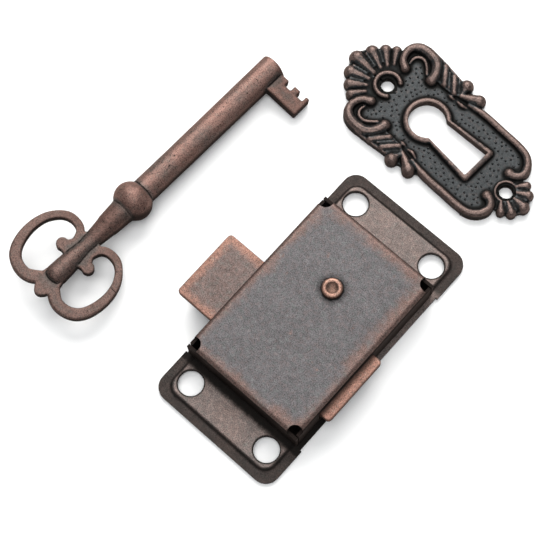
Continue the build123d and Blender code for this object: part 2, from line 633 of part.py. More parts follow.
os.makedirs("parts", exist_ok=True)
for name, make in PARTS.items():
    export_step(make(), f"parts/{name}.step")
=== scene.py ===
import math
import random

import bmesh
import bpy
import numpy as np
from mathutils import Matrix, Vector


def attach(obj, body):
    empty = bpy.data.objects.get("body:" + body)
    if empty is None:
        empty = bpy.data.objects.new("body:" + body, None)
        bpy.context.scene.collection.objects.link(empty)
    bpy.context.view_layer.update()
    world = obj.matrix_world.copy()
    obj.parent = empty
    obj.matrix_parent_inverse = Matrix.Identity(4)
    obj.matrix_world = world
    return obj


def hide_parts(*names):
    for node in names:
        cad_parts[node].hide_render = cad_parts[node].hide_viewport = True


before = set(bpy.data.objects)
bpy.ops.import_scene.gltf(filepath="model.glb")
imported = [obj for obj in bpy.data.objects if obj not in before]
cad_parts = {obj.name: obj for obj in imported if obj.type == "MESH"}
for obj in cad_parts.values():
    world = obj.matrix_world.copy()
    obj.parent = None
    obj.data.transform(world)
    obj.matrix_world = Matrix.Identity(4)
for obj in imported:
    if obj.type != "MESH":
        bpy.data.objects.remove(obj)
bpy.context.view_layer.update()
random.seed(11)

MM = 0.001

# Vertices closer than this lie in one place
SAME_PLACE = 0.001

# The photograph's camera, in the lock's own frame
CAMERA_AT = Vector((59.675, -64.621, 335.495)) * MM
CAMERA_RIGHT = Vector((0.74558, 0.66571, -0.03064))
CAMERA_UP = Vector((-0.63163, 0.72057, 0.28605))
LENS_MM = 110.35
SENSOR_MM = 36.0
CAMERA_CLIP = (0.01, 20.0)

# Table, lights and room, in metres and watts
TABLE_SIZE = 4.0
TABLE_DROP = 0.0001
TABLE_COLOUR = (0.93, 0.93, 0.925, 1.0)
TABLE_ROUGH = 0.9
TABLE_SHINE = 0.1
LIT_MIDDLE = (-0.01, 0.012, 0.0)
BACK_LIGHT = ((-0.41, 0.49, 0.62), (0.75, 0.65), 9.6, (1.0, 0.99, 0.97))
OVERHEAD_LIGHT = ((0.07, -0.1, 0.9), (0.6, 0.6), 4.2, (1.0, 1.0, 1.0))
ROOM_COLOUR = (0.95, 0.97, 1.0, 1.0)
ROOM_LEVEL = 0.52
ROOM_BACK = (-0.64, 0.77, 0.0)
ROOM_UPWARDS = (0.0, 0.8, 0.7, 1.0)
ROOM_BACKWARDS = (-0.9, 0.3, 0.7, 1.0)

# Cutting tools reach from below a piece to above it, and stick out past its sides
TOOL_FOOT = -1.0
TOOL_TOP = 4.0
SPARE = 1.0
DISC_STEPS = 48

# Escutcheon, in its own axes: a runs down its long axis, b across it, heights from the table.
# What stands on one side of the long axis is given once, for the positive b side.
ESC_CENTRE = (-5.63, 50.09)
ESC_HEADING_DEG = -3.5
ESC_GROUND = 1.5
ESC_POCKET = 0.8
ESC_HOLES = (-17.5, 17.5)
ESC_HOLE_RADIUS = 1.5
# Painted shade: how far round a screw hole the ground is painted black, and the relief that paints it
HOLE_SHADE_REACH = 0.6
HOLE_SHADE_RELIEF = -0.3
KEYHOLE_AT = -5.6
KEYHOLE_RADIUS = 4.2
KEYHOLE_NECK = (-2.55, 2.85)
KEYHOLE_END = (8.75, 3.55)
KEYHOLE_CORNER = 0.35
KEYHOLE_STEPS = (28, 6)
KEYHOLE_RIM = ((1.15, 1.85), (1.0, 2.08), (0.8, 2.25), (0.6, 2.33))
CAST_VOXEL = 0.16
CAST_KEEP = 0.8
SCROLL = (
    ((-17.4, 5.35), 1.1, 2.8), ((-19.0, 6.4), 0.95, 2.8), ((-19.75, 8.0), 0.95, 2.85),
    ((-19.7, 9.6), 0.98, 2.9), ((-18.75, 10.9), 1.18, 2.95), ((-17.1, 11.52), 1.27, 2.97),
    ((-15.0, 11.5), 1.33, 2.97), ((-13.35, 11.0), 1.38, 2.95), ((-12.1, 9.65), 1.35, 2.92),
    ((-11.5, 8.2), 1.32, 2.88), ((-11.4, 7.3), 1.4, 2.8),
)
SCROLL_RIDGE = (
    ((-17.6, 7.1), 0.32, 1.95), ((-17.7, 8.35), 0.4, 2.1), ((-17.0, 9.4), 0.44, 2.2),
    ((-15.7, 9.65), 0.44, 2.2), ((-14.45, 9.0), 0.42, 2.15), ((-13.1, 7.7), 0.38, 2.05),
)
RIBS = (
    (((-11.4, 11.75), 0.9, 2.5), ((-10.1, 10.3), 0.98, 2.72), ((-8.7, 8.6), 0.8, 2.5)),
    (((-8.4, 11.3), 0.9, 2.45), ((-7.2, 10.1), 1.0, 2.68), ((-5.9, 8.6), 0.75, 2.45)),
)
RIB_LINES = (
    (((-9.7, 11.3), 0.24, 2.45), ((-7.5, 8.7), 0.24, 2.35)),
    (((-6.9, 11.5), 0.24, 2.25), ((-5.4, 9.6), 0.24, 2.15)),
)
RIB_BED = (
    (-15.0, 11.0), (-15.0, 12.8), (-11.5, 12.55), (-6.6, 11.95), (-4.9, 11.5), (-4.0, 9.1), (-5.6, 8.1),
    (-9.4, 7.9), (-12.0, 8.5),
)
RIB_BED_TOP = 2.02
BEAD = (((-5.0, 11.75), 1.58, 2.85), ((-4.75, 10.7), 1.1, 2.6), ((-4.45, 9.8), 0.6, 2.3))
DROP = (((-0.7, 11.05), 1.55, 2.87), ((-2.3, 10.2), 1.2, 2.7), ((-4.3, 9.2), 0.6, 2.3))
LEAVES = (
    (((-6.5, 7.6), 0.25, 1.8), ((-5.7, 7.5), 0.42, 2.15), ((-4.8, 7.6), 0.25, 1.8)),
    (((-4.0, 7.75), 0.25, 1.8), ((-2.8, 7.65), 0.48, 2.2), ((-1.5, 8.0), 0.25, 1.8)),
)
BORDER = (
    ((-1.6, 9.0), 0.6, 2.1), ((2.0, 9.5), 0.88, 2.42), ((8.0, 9.5), 0.9, 2.42),
    ((12.6, 9.42), 0.92, 2.42), ((14.7, 9.05), 0.98, 2.46), ((16.2, 8.1), 1.05, 2.5),
    ((17.2, 6.6), 1.1, 2.52), ((17.35, 5.1), 1.05, 2.52), ((16.5, 3.95), 1.05, 2.5),
    ((15.15, 3.5), 1.28, 2.52),
)
FLUTES = (
    (((-21.8, 0.0), 0.72, 2.1), ((-24.4, 0.0), 1.4, 2.58), ((-26.8, 0.0), 1.85, 2.75)),
    (((-21.5, 1.85), 0.62, 2.1), ((-23.6, 2.65), 1.2, 2.52), ((-25.45, 3.35), 1.6, 2.7)),
    (((-20.8, 3.3), 0.58, 2.1), ((-22.3, 4.5), 1.08, 2.5), ((-23.55, 5.6), 1.42, 2.66)),
    (((-19.9, 4.5), 0.5, 2.1), ((-20.9, 5.95), 0.92, 2.46), ((-21.7, 7.15), 1.18, 2.6)),
    (((19.5, 0.0), 0.55, 2.0), ((21.0, 0.0), 1.12, 2.46), ((22.42, 0.0), 1.5, 2.62)),
    (((19.1, 1.35), 0.45, 2.0), ((20.4, 2.1), 0.92, 2.4), ((21.45, 2.7), 1.2, 2.52)),
    (((18.2, 2.35), 0.4, 2.0), ((19.05, 3.35), 0.8, 2.35), ((19.7, 4.05), 1.03, 2.42)),
)
FLUTE_LINES = (
    (((-22.6, 1.2), 0.2, 2.05), ((-26.0, 1.95), 0.22, 2.2)),
    (((-22.0, 3.1), 0.2, 2.05), ((-24.4, 4.6), 0.22, 2.2)),
    (((19.8, 0.7), 0.18, 1.9), ((21.9, 1.6), 0.2, 2.0)),
    (((18.9, 1.9), 0.18, 1.9), ((20.5, 3.4), 0.2, 2.0)),
)
FAN_FLOORS = (
    ((-17.5, 0.0), (-27.9, 0.0), (-27.4, 1.6), (-26.4, 3.2), (-25.1, 4.6), (-23.4, 6.4), (-21.6, 7.7),
     (-17.5, 6.0)),
    ((17.5, 0.0), (23.4, 0.0), (22.8, 1.6), (21.5, 3.1), (19.7, 4.6), (17.5, 4.2)),
)
FAN_FLOOR_TOP = 1.65
UPPER_RING = (2.78, 0.55, 2.4)
UPPER_RING_GAP_DEG = 50.0
LOWER_RING = (2.35, 0.3, 1.85)
RING_STEPS = (14, 16)
FIELD = (
    (-17.5, 0.0), (-17.4, 4.9), (-19.5, 7.4), (-19.5, 9.9), (-18.4, 11.5), (-16.5, 12.3), (-13.5, 12.4),
    (-6.8, 11.8), (-4.9, 11.8), (-0.8, 11.1), (2.2, 9.7), (12.6, 9.6), (15.0, 9.1), (16.8, 7.6),
    (17.5, 6.0), (17.4, 4.0), (17.5, 0.0),
)
POCKET = (
    (-13.2, 0.0), (-13.8, 3.0), (-16.6, 7.6), (-15.4, 8.9), (-11.8, 9.3), (-5.0, 8.9), (-1.0, 8.1),
    (2.5, 7.3), (8.0, 7.3), (12.2, 7.1), (14.0, 6.2), (14.7, 4.4), (13.4, 0.0),
)
POCKET_WALL = 0.8
PIP_RADIUS = 0.26
PIP_SPACING = 0.92
PIP_CLEAR = 0.5
PIP_TRIES = 2600
PIP_FIELD = (17.0, 12.0)
PIP_STEPS = (10, 6)
PIP_RELIEF = 0.03
PIP_PROBES = 8
PIP_LEVEL = 0.05

# Key, in its own axes: lengths along it from the middle of its collar, heights from its axis
KEY_AT = (-45.8, -5.3, 4.447)
KEY_TURN_DEG = (6.56, 2.24, 88.4)
KEY_VOXEL = 0.18
KEY_BODY = (
    (-24.6, 0.0), (-24.4, 1.25), (-23.9, 2.05), (-22.9, 2.45), (-20.0, 2.35), (-18.0, 2.15),
    (-16.0, 1.92), (-14.4, 1.84), (-13.0, 1.9), (-12.0, 2.02), (-10.0, 2.2), (-8.2, 2.42),
    (-7.6, 2.58), (-6.0, 2.7), (-4.0, 2.83), (-2.9, 2.98), (-2.0, 3.0), (-2.0, 0.0),
)
BODY_STEPS = 48
KEY_BOW_HALF = 1.2
KEY_WEB = (
    (-22.8, 0.0), (-23.1, 2.3), (-24.0, 2.45), (-25.2, 3.0), (-26.3, 3.4), (-26.95, 1.75), (-27.6, 1.5),
    (-28.35, 0.85), (-28.62, 0.0),
)
KEY_JOIN = (
    (-12.1, 1.0), (-12.0, 2.2), (-12.6, 3.4), (-13.6, 3.1), (-14.4, 2.5), (-15.2, 2.3), (-16.1, 2.9),
    (-18.4, 2.9), (-18.6, 1.2),
)
KEY_LOOP = (
    ((-25.0, 1.6), 2.3), ((-27.0, 5.0), 2.2), ((-25.85, 8.95), 2.2), ((-21.3, 11.0), 2.0),
    ((-15.75, 10.5), 1.75), ((-12.05, 7.4), 1.65), ((-12.15, 3.6), 1.75), ((-14.9, 2.2), 1.7),
    ((-17.1, 3.4), 1.7),
)
KEY_CURL = (-17.2, 3.75, 1.36)
LOOP_STEPS = 6
CRACK = (-17.0, -16.88, -11.6, -9.9, 1.02, 1.6)
KEY_SHANK = ((2.0, -0.1), (43.2, -0.42), 2.93, 2.7)
SHANK_STEPS = 64
KEY_BORE = (34.5, 45.0, 1.53)

# Base plate: a pressed sheet with a flat rim, an S-shaped step and a raised middle
PLATE_LENGTH = 64.0
PLATE_WIDTH = 32.0
PLATE_SHEET = 0.8
PLATE_TOP = 1.5
PLATE_CORNER = 3.2
PLATE_SPARE = 2.0
PRESS_CORNER = 2.0
RIM_WIDTH = 1.55
STEP_WIDTH = 1.15
STEP_RINGS = 7
WAIST_WIDTH = 31.2
SCREW_AT = (10.5, 26.0)
SCREW_RADIUS = 2.75
EDGE_BREAK = 0.12

# Case cover: one folded sheet over the raised middle
CASE_LENGTH = 43.0
CASE_SIDES = (-15.1, 14.55)
CASE_FOOT = 0.8
CASE_TOP = 9.0
CASE_SHEET = 0.7
CASE_BEND = 1.3
RELIEF_RADIUS = 1.7
RELIEF_INSET = 0.9
RELIEF_FLOOR = 7.4
CORNER_SEAM = 0.25
LUG_AT = 6.1
LUG_WIDTH = 4.0
LUG_FOOT = 1.6
LUG_PLAY = 0.02
LUG_BOTTOM = 0.2
LUG_SINK = 0.01
WALL_PLAY = 0.1
SEAM_TOP = 7.9

# What passes through plate and cover
POST_AT = (-0.5, 6.9)
POST_RADIUS = 1.45
KEYHOLE_WELL = 3.15
KEYHOLE_SLOT = (4.2, 11.9)
STUDS_AT = ((1.0, -9.4), (10.5, -17.6))
STUD_HOLE = 1.05
BOLT_AT = (-5.9, 8.42, 2.08, 7.32)
POST_PROFILE = (
    (9.5, 0.0), (9.5, 0.5), (9.56, 0.85), (9.72, 1.1), (9.84, 1.28), (9.9, 1.5), (9.88, 1.8),
    (9.78, 2.03), (9.58, 2.2), (9.3, 2.28), (9.0, 2.28), (9.0, 1.4), (7.9, 1.4), (7.9, 2.0),
    (7.5, 2.0), (7.5, 1.4), (0.95, 1.4), (0.6, 1.05), (0.6, 0.0),
)
POST_STEPS = 64
POST_SMOOTH_DEG = 40
BOLT_END = (2.3, 5.9, 7.2, 1.5)
BOLT_CORNER = 0.9
BOLT_EDGE = 0.3
BOLT_NOSE_INNER = -14.6
BOLT_TAIL_INNER = 14.2
BOLT_TAIL_END = 17.05
BOLT_NOSE_END = -24.7
BOLT_MIDDLE = -5.9
BOLT_HALF = 8.3
BOLT_CORNER_STEPS = 6
BOLT_EDGE_STEPS = 3
BOLT_EDGE_DEG = 50
BOLT_SMOOTH_DEG = 30
BOLT_LAP = 0.3
BOLT_ROOM = (-20.0, 10.0, 0.0, 10.0)
BOLT_NEAR = 0.01

# Raised lines: the steps of their round, and along them between two places
STROKE_ROUNDNESS = 3
STROKE_STEPS = 6
KNOB_STEPS = (16, 8)
WIDEST = 1e-4

# Relief is measured against the shape smoothed so many times, with this share kept at each pass
RELIEF_REACH = (("relief_near", 5), ("relief_far", 60))
SMOOTH_KEEP = 0.3
CAST_SOFTEN = {"factor": 0.5, "iterations": 2}

# Sheet work: breaks, bends and the play between a tool and the sheet beside it
BREAK_STEPS = 2
BREAK_ABOVE_DEG = 40
SHEET_SMOOTH_DEG = 35
CORNER_STEPS = 10
BEND_STEPS = 8
PLAY = 0.2
FACES_FLAT = 0.9
EVEN_SHADE = {"weight": 100, "keep_sharp": True}
SAME_LEVEL = 0.1

# Noise fields of the finishes: scale per millimetre, detail, roughness and distortion.
# What a ramp is given: where it begins and ends, then its values before and after.
NOISE_SPAN = (0.3, 0.7)
CLOUD = (0.13, 3.0, 0.55)
MOTTLE = (0.9, 4.0, 0.65, 0.6)
GRAIN = (4.0, 2.0, 0.8)
HUE = (1.3, 2.0)
PITS = (1.7, 1.0)
PATCHES = (0.8, 2.0)
TANGLE_SCALES = (0.55, 0.8)
TANGLE = (1.0, 0.5, 1.2)
TANGLE_TURNS = 9.0
TANGLE_FOLD = 0.5
TANGLE_LINE = (0.0, 0.15, 1.0, 0.0)
PATCH_EDGE = (0.42, 0.56)
PIT_EDGE = (0.7, 0.76)
GRAIN_SHADE = (-0.52, 0.52)
MOTTLE_SHADE = (-0.1, 0.1)
CLOUD_SHADE = (0.92, 1.02)
GRAIN_WEAR = (0.2, 0.6, 0.75, 1.0)
HUE_COPPER = (0.5, 0.68, 0.0, 0.12)
HUE_PATINA = (0.3, 0.48, 0.25, 0.0)
BLACK = (20, 20, 19)
PATINA = (84, 93, 88)

# Surface of plated metal
PER_METRE = (1000, 1000, 1000)
METALLIC = 0.85
EDGE_TINT = (0.55, 0.5, 0.48, 1.0)
ROUGH_SPAN = (0.05, 0.1)
BLACK_ROUGHER = 0.2
GRAIN_HEIGHT = 0.6
MOTTLE_HEIGHT = 0.8
BUMP = 0.25
BUMP_DEPTH = 0.00008


def put(name, data):
    """Add an object with this data to the scene."""
    piece = bpy.data.objects.new(name, data)
    bpy.context.scene.collection.objects.link(piece)
    return piece


def pick(*pieces):
    """Select these pieces alone, the first one active."""
    bpy.ops.object.select_all(action="DESELECT")
    for piece in pieces:
        piece.select_set(True)
    bpy.context.view_layer.objects.active = pieces[0]


def join(pieces, name):
    """Make one piece of several."""
    pick(*pieces)
    bpy.ops.object.join()
    pieces[0].name = name
    pieces[0].data.name = name
    return pieces[0]


def use_modifier(piece, kind, **settings):
    """Put a modifier on a piece and apply it."""
    modifier = piece.modifiers.new(kind.lower(), kind)
    for key, value in settings.items():
        setattr(modifier, key, value)
    pick(piece)
    bpy.context.view_layer.update()
    bpy.ops.object.modifier_apply(modifier=modifier.name)


def edit_all(piece):
    """Enter edit mode with the whole of a piece selected."""
    pick(piece)
    bpy.ops.object.mode_set(mode="EDIT")
    bpy.ops.mesh.select_all(action="SELECT")


def merge(piece):
    """Join vertices that lie in one place."""
    edit_all(piece)
    bpy.ops.mesh.remove_doubles(threshold=SAME_PLACE)
    bpy.ops.object.mode_set(mode="OBJECT")


def read_all(items, name, width=3, kind=float):
    """One value of all vertices or edges of a mesh, a row for each."""
    values = np.empty(len(items) * width, dtype=kind)
    items.foreach_get(name, values)
    return values.reshape(-1, width)


def cut(piece, tool):
    """Take one solid away from another."""
    use_modifier(piece, "BOOLEAN", operation="DIFFERENCE", object=tool, solver="MANIFOLD")
    bpy.data.objects.remove(tool)


def camera():
    """The camera at the photograph's angle."""
    data = bpy.data.cameras.new("camera")
    data.lens = LENS_MM
    data.sensor_width = SENSOR_MM
    data.clip_start, data.clip_end = CAMERA_CLIP
    piece = put("camera", data)
    back = CAMERA_RIGHT.cross(CAMERA_UP)
    turn = Matrix((CAMERA_RIGHT, CAMERA_UP, back)).transposed()
    piece.matrix_world = Matrix.Translation(CAMERA_AT) @ turn.to_4x4()
    bpy.context.scene.camera = piece


def area_light(name, at, size, power, colour):
    """A soft rectangular light that faces the middle of the set."""
    data = bpy.data.lights.new(name, "AREA")
    data.shape = "RECTANGLE"
    data.size, data.size_y = size
    data.energy = power
    data.color = colour
    piece = put(name, data)
    piece.location = at
    piece.rotation_euler = (Vector(LIT_MIDDLE) - Vector(at)).to_track_quat("-Z", "Y").to_euler()


def studio():
    """A pale table under a large soft light behind the set and a weaker one overhead.

    The room itself is dimmer low down and in front."""
    bpy.ops.mesh.primitive_plane_add(size=TABLE_SIZE, location=(0, 0, -TABLE_DROP))
    floor = bpy.context.object
    floor.name = "table"
    material = bpy.data.materials.new("table")
    material.use_nodes = True
    surface = material.node_tree.nodes["Principled BSDF"]
    surface.inputs["Base Color"].default_value = TABLE_COLOUR
    surface.inputs["Roughness"].default_value = TABLE_ROUGH
    surface.inputs["Specular IOR Level"].default_value = TABLE_SHINE
    floor.data.materials.append(material)
    area_light("back_softbox", *BACK_LIGHT)
    area_light("overhead_softbox", *OVERHEAD_LIGHT)
    world = bpy.data.worlds.new("room")
    bpy.context.scene.world = world
    world.use_nodes = True
    tree = world.node_tree
    background = tree.nodes["Background"]
    background.inputs["Color"].default_value = ROOM_COLOUR
    towards = add(tree, "ShaderNodeTexCoord", {}).outputs["Generated"]
    high = ramp(tree, add(tree, "ShaderNodeSeparateXYZ", {0: towards}).outputs[2], *ROOM_UPWARDS)
    behind = ramp(tree, along(tree, towards, ROOM_BACK), *ROOM_BACKWARDS)
    tree.links.new(calc(tree, "MULTIPLY", high, behind, ROOM_LEVEL), background.inputs["Strength"])
    bpy.context.scene.view_settings.view_transform = "Standard"


def stroke(line, closed=False):
    """A raised line of a casting: a round bar through places with a radius and a top height each.

    The bar is cut at its widest and its sides run straight down to the back."""
    curve = bpy.data.curves.new("stroke", "CURVE")
    curve.dimensions = "3D"
    curve.bevel_depth = 1.0
    curve.bevel_resolution = STROKE_ROUNDNESS
    curve.resolution_u = STROKE_STEPS
    curve.use_fill_caps = True
    spline = curve.splines.new("BEZIER")
    spline.bezier_points.add(len(line) - 1)
    spline.use_cyclic_u = closed
    for point, ((a, b), radius, top) in zip(spline.bezier_points, line):
        point.co = (a, b, top - radius)
        point.radius = radius
        point.handle_left_type = point.handle_right_type = "AUTO"
    piece = put("stroke", curve)
    pick(piece)
    bpy.ops.object.convert(target="MESH")
    # A bar of this roundness has so many vertices in each of its rings
    around = 2 * STROKE_ROUNDNESS + 4
    rings = read_all(piece.data.vertices, "co").reshape(-1, around, 3)
    middle = rings[:, :, 2].mean(axis=1, keepdims=True)
    rings[:, :, 2] = np.where(rings[:, :, 2] < middle - WIDEST, 0, rings[:, :, 2])
    piece.data.vertices.foreach_set("co", rings.ravel())
    merge(piece)
    pieces = [piece]
    if not closed:
        pieces += [knob(*line[0]), knob(*line[-1])]
    return pieces


def knob(at, radius, top):
    """A round end on a raised line, whose sides run down to the back."""
    segments, rings = KNOB_STEPS
    bpy.ops.mesh.primitive_uv_sphere_add(segments=segments, ring_count=rings, radius=radius,
                                         location=(*at, top - radius))
    bpy.ops.object.transform_apply()
    piece = bpy.context.object
    for vertex in piece.data.vertices:
        if vertex.co.z < top - radius - WIDEST:
            vertex.co.z = 0
    return piece


def mirrored(line):
    """The same raised line on the other side of the long axis."""
    return [((a, -b), radius, top) for (a, b), radius, top in line]


def slab(outline, bottom, top):
    """A flat plate of a given outline.

    A modifier gives it its height: unlike an extrusion, it orders the faces alike in every run."""
    mesh = bpy.data.meshes.new("slab")
    mesh.from_pydata([(a, b, top) for a, b in outline], [], [range(len(outline))])
    if mesh.polygons[0].normal.z < 0:
        mesh.flip_normals()
    piece = put("slab", mesh)
    use_modifier(piece, "SOLIDIFY", thickness=top - bottom, offset=-1)
    return piece


def both_halves(half):
    """A whole outline from the half on one side of the long axis."""
    return list(half) + [(a, -b) for a, b in reversed(half) if abs(b) > SAME_PLACE]


def keyhole_outline(grow):
    """The keyhole's outline: a round upper part and a slot that widens a little downwards."""
    radius = KEYHOLE_RADIUS + grow
    start = math.atan2(KEYHOLE_NECK[1], KEYHOLE_NECK[0] - KEYHOLE_AT)
    round_steps, corner_steps = KEYHOLE_STEPS
    half = []
    for index in range(round_steps + 1):
        angle = math.pi - (math.pi - start) * index / round_steps
        half.append((KEYHOLE_AT + radius * math.cos(angle), radius * math.sin(angle)))
    end, width = KEYHOLE_END[0] + grow, KEYHOLE_END[1] + grow
    round_off = KEYHOLE_CORNER + grow / 2
    for index in range(corner_steps + 1):
        angle = math.pi / 2 * (1 - index / corner_steps)
        half.append((end - round_off * (1 - math.cos(angle)), width - round_off * (1 - math.sin(angle))))
    return both_halves(half)


def disc_tool(a, b, radius, bottom=TOOL_FOOT, top=TOOL_TOP):
    """An upright cylinder between two heights."""
    bpy.ops.mesh.primitive_cylinder_add(vertices=DISC_STEPS, radius=radius, depth=top - bottom,
                                        location=(a, b, (top + bottom) / 2))
    bpy.ops.object.transform_apply()
    return bpy.context.object


def note_relief(piece):
    """Store how far each point stands out of or lies in its surroundings, near by and further off."""
    mesh = piece.data
    count = len(mesh.vertices)
    at, normal = read_all(mesh.vertices, "co"), read_all(mesh.vertices, "normal")
    ends = read_all(mesh.edges, "vertices", 2, np.int32)
    here = np.concatenate((ends[:, 0], ends[:, 1]))
    there = np.concatenate((ends[:, 1], ends[:, 0]))
    links = np.maximum(np.bincount(here, minlength=count), 1)
    smooth = at.copy()
    passed = 0
    for name, passes in RELIEF_REACH:
        for step in range(passes - passed):
            for axis in range(3):
                near = np.bincount(here, weights=smooth[there, axis], minlength=count) / links
                smooth[:, axis] = SMOOTH_KEEP * smooth[:, axis] + (1 - SMOOTH_KEEP) * near
        passed = passes
        values = np.einsum("ij,ij->i", normal, at - smooth)
        layer = mesh.attributes.new(name, "FLOAT", "POINT")
        layer.data.foreach_set("value", values.astype(np.float32))


def paint_hole_shade(piece):
    """Mark the ground round the screw holes as lying low, so that it stays black: painted shade for a
    dished edge round each hole.
    """
    near = [
        index for index, vertex in enumerate(piece.data.vertices)
        if any(math.hypot(vertex.co.x - a, vertex.co.y) < ESC_HOLE_RADIUS + HOLE_SHADE_REACH for a in ESC_HOLES)
    ]
    for name, passes in RELIEF_REACH:
        values = piece.data.attributes[name].data
        for index in near:
            values[index].value = HOLE_SHADE_RELIEF


def pips(cast):
    """Small domes strewn over the casting's ground, clear of everything raised."""
    segments, rings = PIP_STEPS
    bpy.ops.mesh.primitive_uv_sphere_add(segments=segments, ring_count=rings, radius=PIP_RADIUS)
    first = bpy.context.object
    heights = [vertex.co.z / PIP_RADIUS for vertex in first.data.vertices]
    for name, passes in RELIEF_REACH:
        layer = first.data.attributes.new(name, "FLOAT", "POINT")
        layer.data.foreach_set("value", [PIP_RELIEF * height for height in heights])
    turns = [index * math.tau / PIP_PROBES for index in range(PIP_PROBES)]
    around = [(PIP_CLEAR * math.cos(turn), PIP_CLEAR * math.sin(turn)) for turn in turns]
    reach_a, reach_b = PIP_FIELD
    placed, domes = [], []
    bpy.context.view_layer.update()
    for attempt in range(PIP_TRIES):
        a, b = random.uniform(-reach_a, reach_a), random.uniform(-reach_b, reach_b)
        if any((a - c) ** 2 + (b - d) ** 2 < PIP_SPACING ** 2 for c, d in placed):
            continue
        level = True
        for da, db in [(0, 0)] + around:
            hit, where, normal, face = cast.ray_cast((a + da, b + db, TOOL_TOP + SPARE), (0, 0, -1))
            level = level and hit and abs(where.z - ESC_GROUND) < PIP_LEVEL
        if not level:
            continue
        placed.append((a, b))
        dome = put("pip", first.data.copy())
        dome.data.transform(Matrix.Translation((a, b, ESC_GROUND)))
        domes.append(dome)
    bpy.data.objects.remove(first)
    return domes


def ring(middle, form, turns):
    """A raised line round a screw hole, with a place at each of some turns."""
    reach, radius, top = form
    return [((middle + reach * math.cos(turn), reach * math.sin(turn)), radius, top) for turn in turns]


def escutcheon():
    """One casting: ground with a raised keyhole rim, scrolls, ribs, drops, borders and flutes."""
    lines = [SCROLL, SCROLL_RIDGE, BEAD, DROP, BORDER]
    lines += RIBS + RIB_LINES + LEAVES + FLUTES + FLUTE_LINES
    parts = []
    for line in lines:
        parts += stroke(line)
        if any(b for (a, b), radius, top in line):
            parts += stroke(mirrored(line))
    upper_steps, lower_steps = RING_STEPS
    gap = math.radians(UPPER_RING_GAP_DEG)
    open_turns = [gap + (math.tau - 2 * gap) * index / upper_steps for index in range(upper_steps + 1)]
    parts += stroke(ring(ESC_HOLES[0], UPPER_RING, open_turns))
    closed_turns = [math.tau * index / lower_steps for index in range(lower_steps)]
    parts += stroke(ring(ESC_HOLES[1], LOWER_RING, closed_turns), closed=True)
    parts.append(slab(both_halves(FIELD), 0, ESC_GROUND))
    for width, top in KEYHOLE_RIM:
        parts.append(slab(keyhole_outline(width), 0, top))
    for side in (1, -1):
        parts.append(slab([(a, side * b) for a, b in RIB_BED], 0, RIB_BED_TOP))
    for floor in FAN_FLOORS:
        parts.append(slab(both_halves(floor), 0, FAN_FLOOR_TOP))
    cast = join(parts, "escutcheon_casting")
    use_modifier(cast, "REMESH", mode="VOXEL", voxel_size=CAST_VOXEL)
    for a in ESC_HOLES:
        cut(cast, disc_tool(a, 0, ESC_HOLE_RADIUS))
    cut(cast, slab(keyhole_outline(0), TOOL_FOOT, TOOL_TOP))
    pocket = slab(both_halves(POCKET), TOOL_FOOT, ESC_POCKET)
    cut(pocket, slab(keyhole_outline(KEYHOLE_RIM[0][0] + POCKET_WALL), TOOL_FOOT - SPARE, TOOL_TOP))
    cut(cast, pocket)
    use_modifier(cast, "SMOOTH", **CAST_SOFTEN)
    note_relief(cast)
    # Painted shade round the screw holes
    paint_hole_shade(cast)
    use_modifier(cast, "DECIMATE", ratio=CAST_KEEP)
    cast = join([cast] + pips(cast), "escutcheon_casting")
    place = Matrix.Translation((*ESC_CENTRE, 0)) @ Matrix.Rotation(math.radians(ESC_HEADING_DEG), 4, "Z")
    cast.data.transform(Matrix.Scale(MM, 4) @ place)
    pick(cast)
    bpy.ops.object.shade_smooth()
    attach(cast, "escutcheon")
    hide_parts("escutcheon")


def lathe(profile, axis, steps):
    """A body turned about an axis from places along it and radii."""
    curve = bpy.data.meshes.new("lathe")
    forward = Vector(axis)
    out = Vector((axis[2], 0, axis[0]))
    places = [forward * at + out * radius for at, radius in profile]
    curve.from_pydata(places, [(i, i + 1) for i in range(len(places) - 1)], [])
    piece = put("lathe", curve)
    edit_all(piece)
    bpy.ops.mesh.spin(steps=steps, angle=math.tau, center=(0, 0, 0), axis=axis)
    bpy.ops.mesh.select_all(action="SELECT")
    bpy.ops.mesh.remove_doubles(threshold=SAME_PLACE)
    bpy.ops.mesh.normals_make_consistent(inside=False)
    bpy.ops.object.mode_set(mode="OBJECT")
    return piece


def band(line, steps):
    """The outline of a flat band that runs smoothly through places with a width at each."""
    count = len(line)
    middle, widths = [], []
    for index in range(count - 1):
        four = [line[max(0, min(count - 1, index + step))] for step in (-1, 0, 1, 2)]
        values = [np.array((*at, width)) for at, width in four]
        for step in range(steps + (index == count - 2)):
            t = step / steps
            before, start, end, after = values
            point = 0.5 * (2 * start + (end - before) * t
                           + (2 * before - 5 * start + 4 * end - after) * t ** 2
                           + (3 * start - before - 3 * end + after) * t ** 3)
            middle.append(point[:2])
            widths.append(point[2])
    run = np.gradient(np.array(middle), axis=0)
    across = np.stack((-run[:, 1], run[:, 0]), axis=1) / np.linalg.norm(run, axis=1, keepdims=True)
    reach = across * np.array(widths)[:, None] / 2
    one, other = np.array(middle) + reach, np.array(middle) - reach
    return [tuple(at) for at in one] + [tuple(at) for at in other[::-1]]


def shank():
    """The key's shank, a little wider than high, between the middles of its two ends."""
    start, end, across, high = KEY_SHANK
    start, end = Vector((*start, 0)), Vector((*end, 0))
    run = end - start
    bpy.ops.mesh.primitive_cylinder_add(vertices=SHANK_STEPS, radius=1, depth=1)
    piece = bpy.context.object
    lie_down = Matrix.Rotation(math.pi / 2, 4, "Y")
    stretch = Matrix.Diagonal((run.length, across, high, 1))
    turn = Matrix.Rotation(math.atan2(run.y, run.x), 4, "Z")
    piece.data.transform(Matrix.Translation((start + end) / 2) @ turn @ stretch @ lie_down)
    return piece


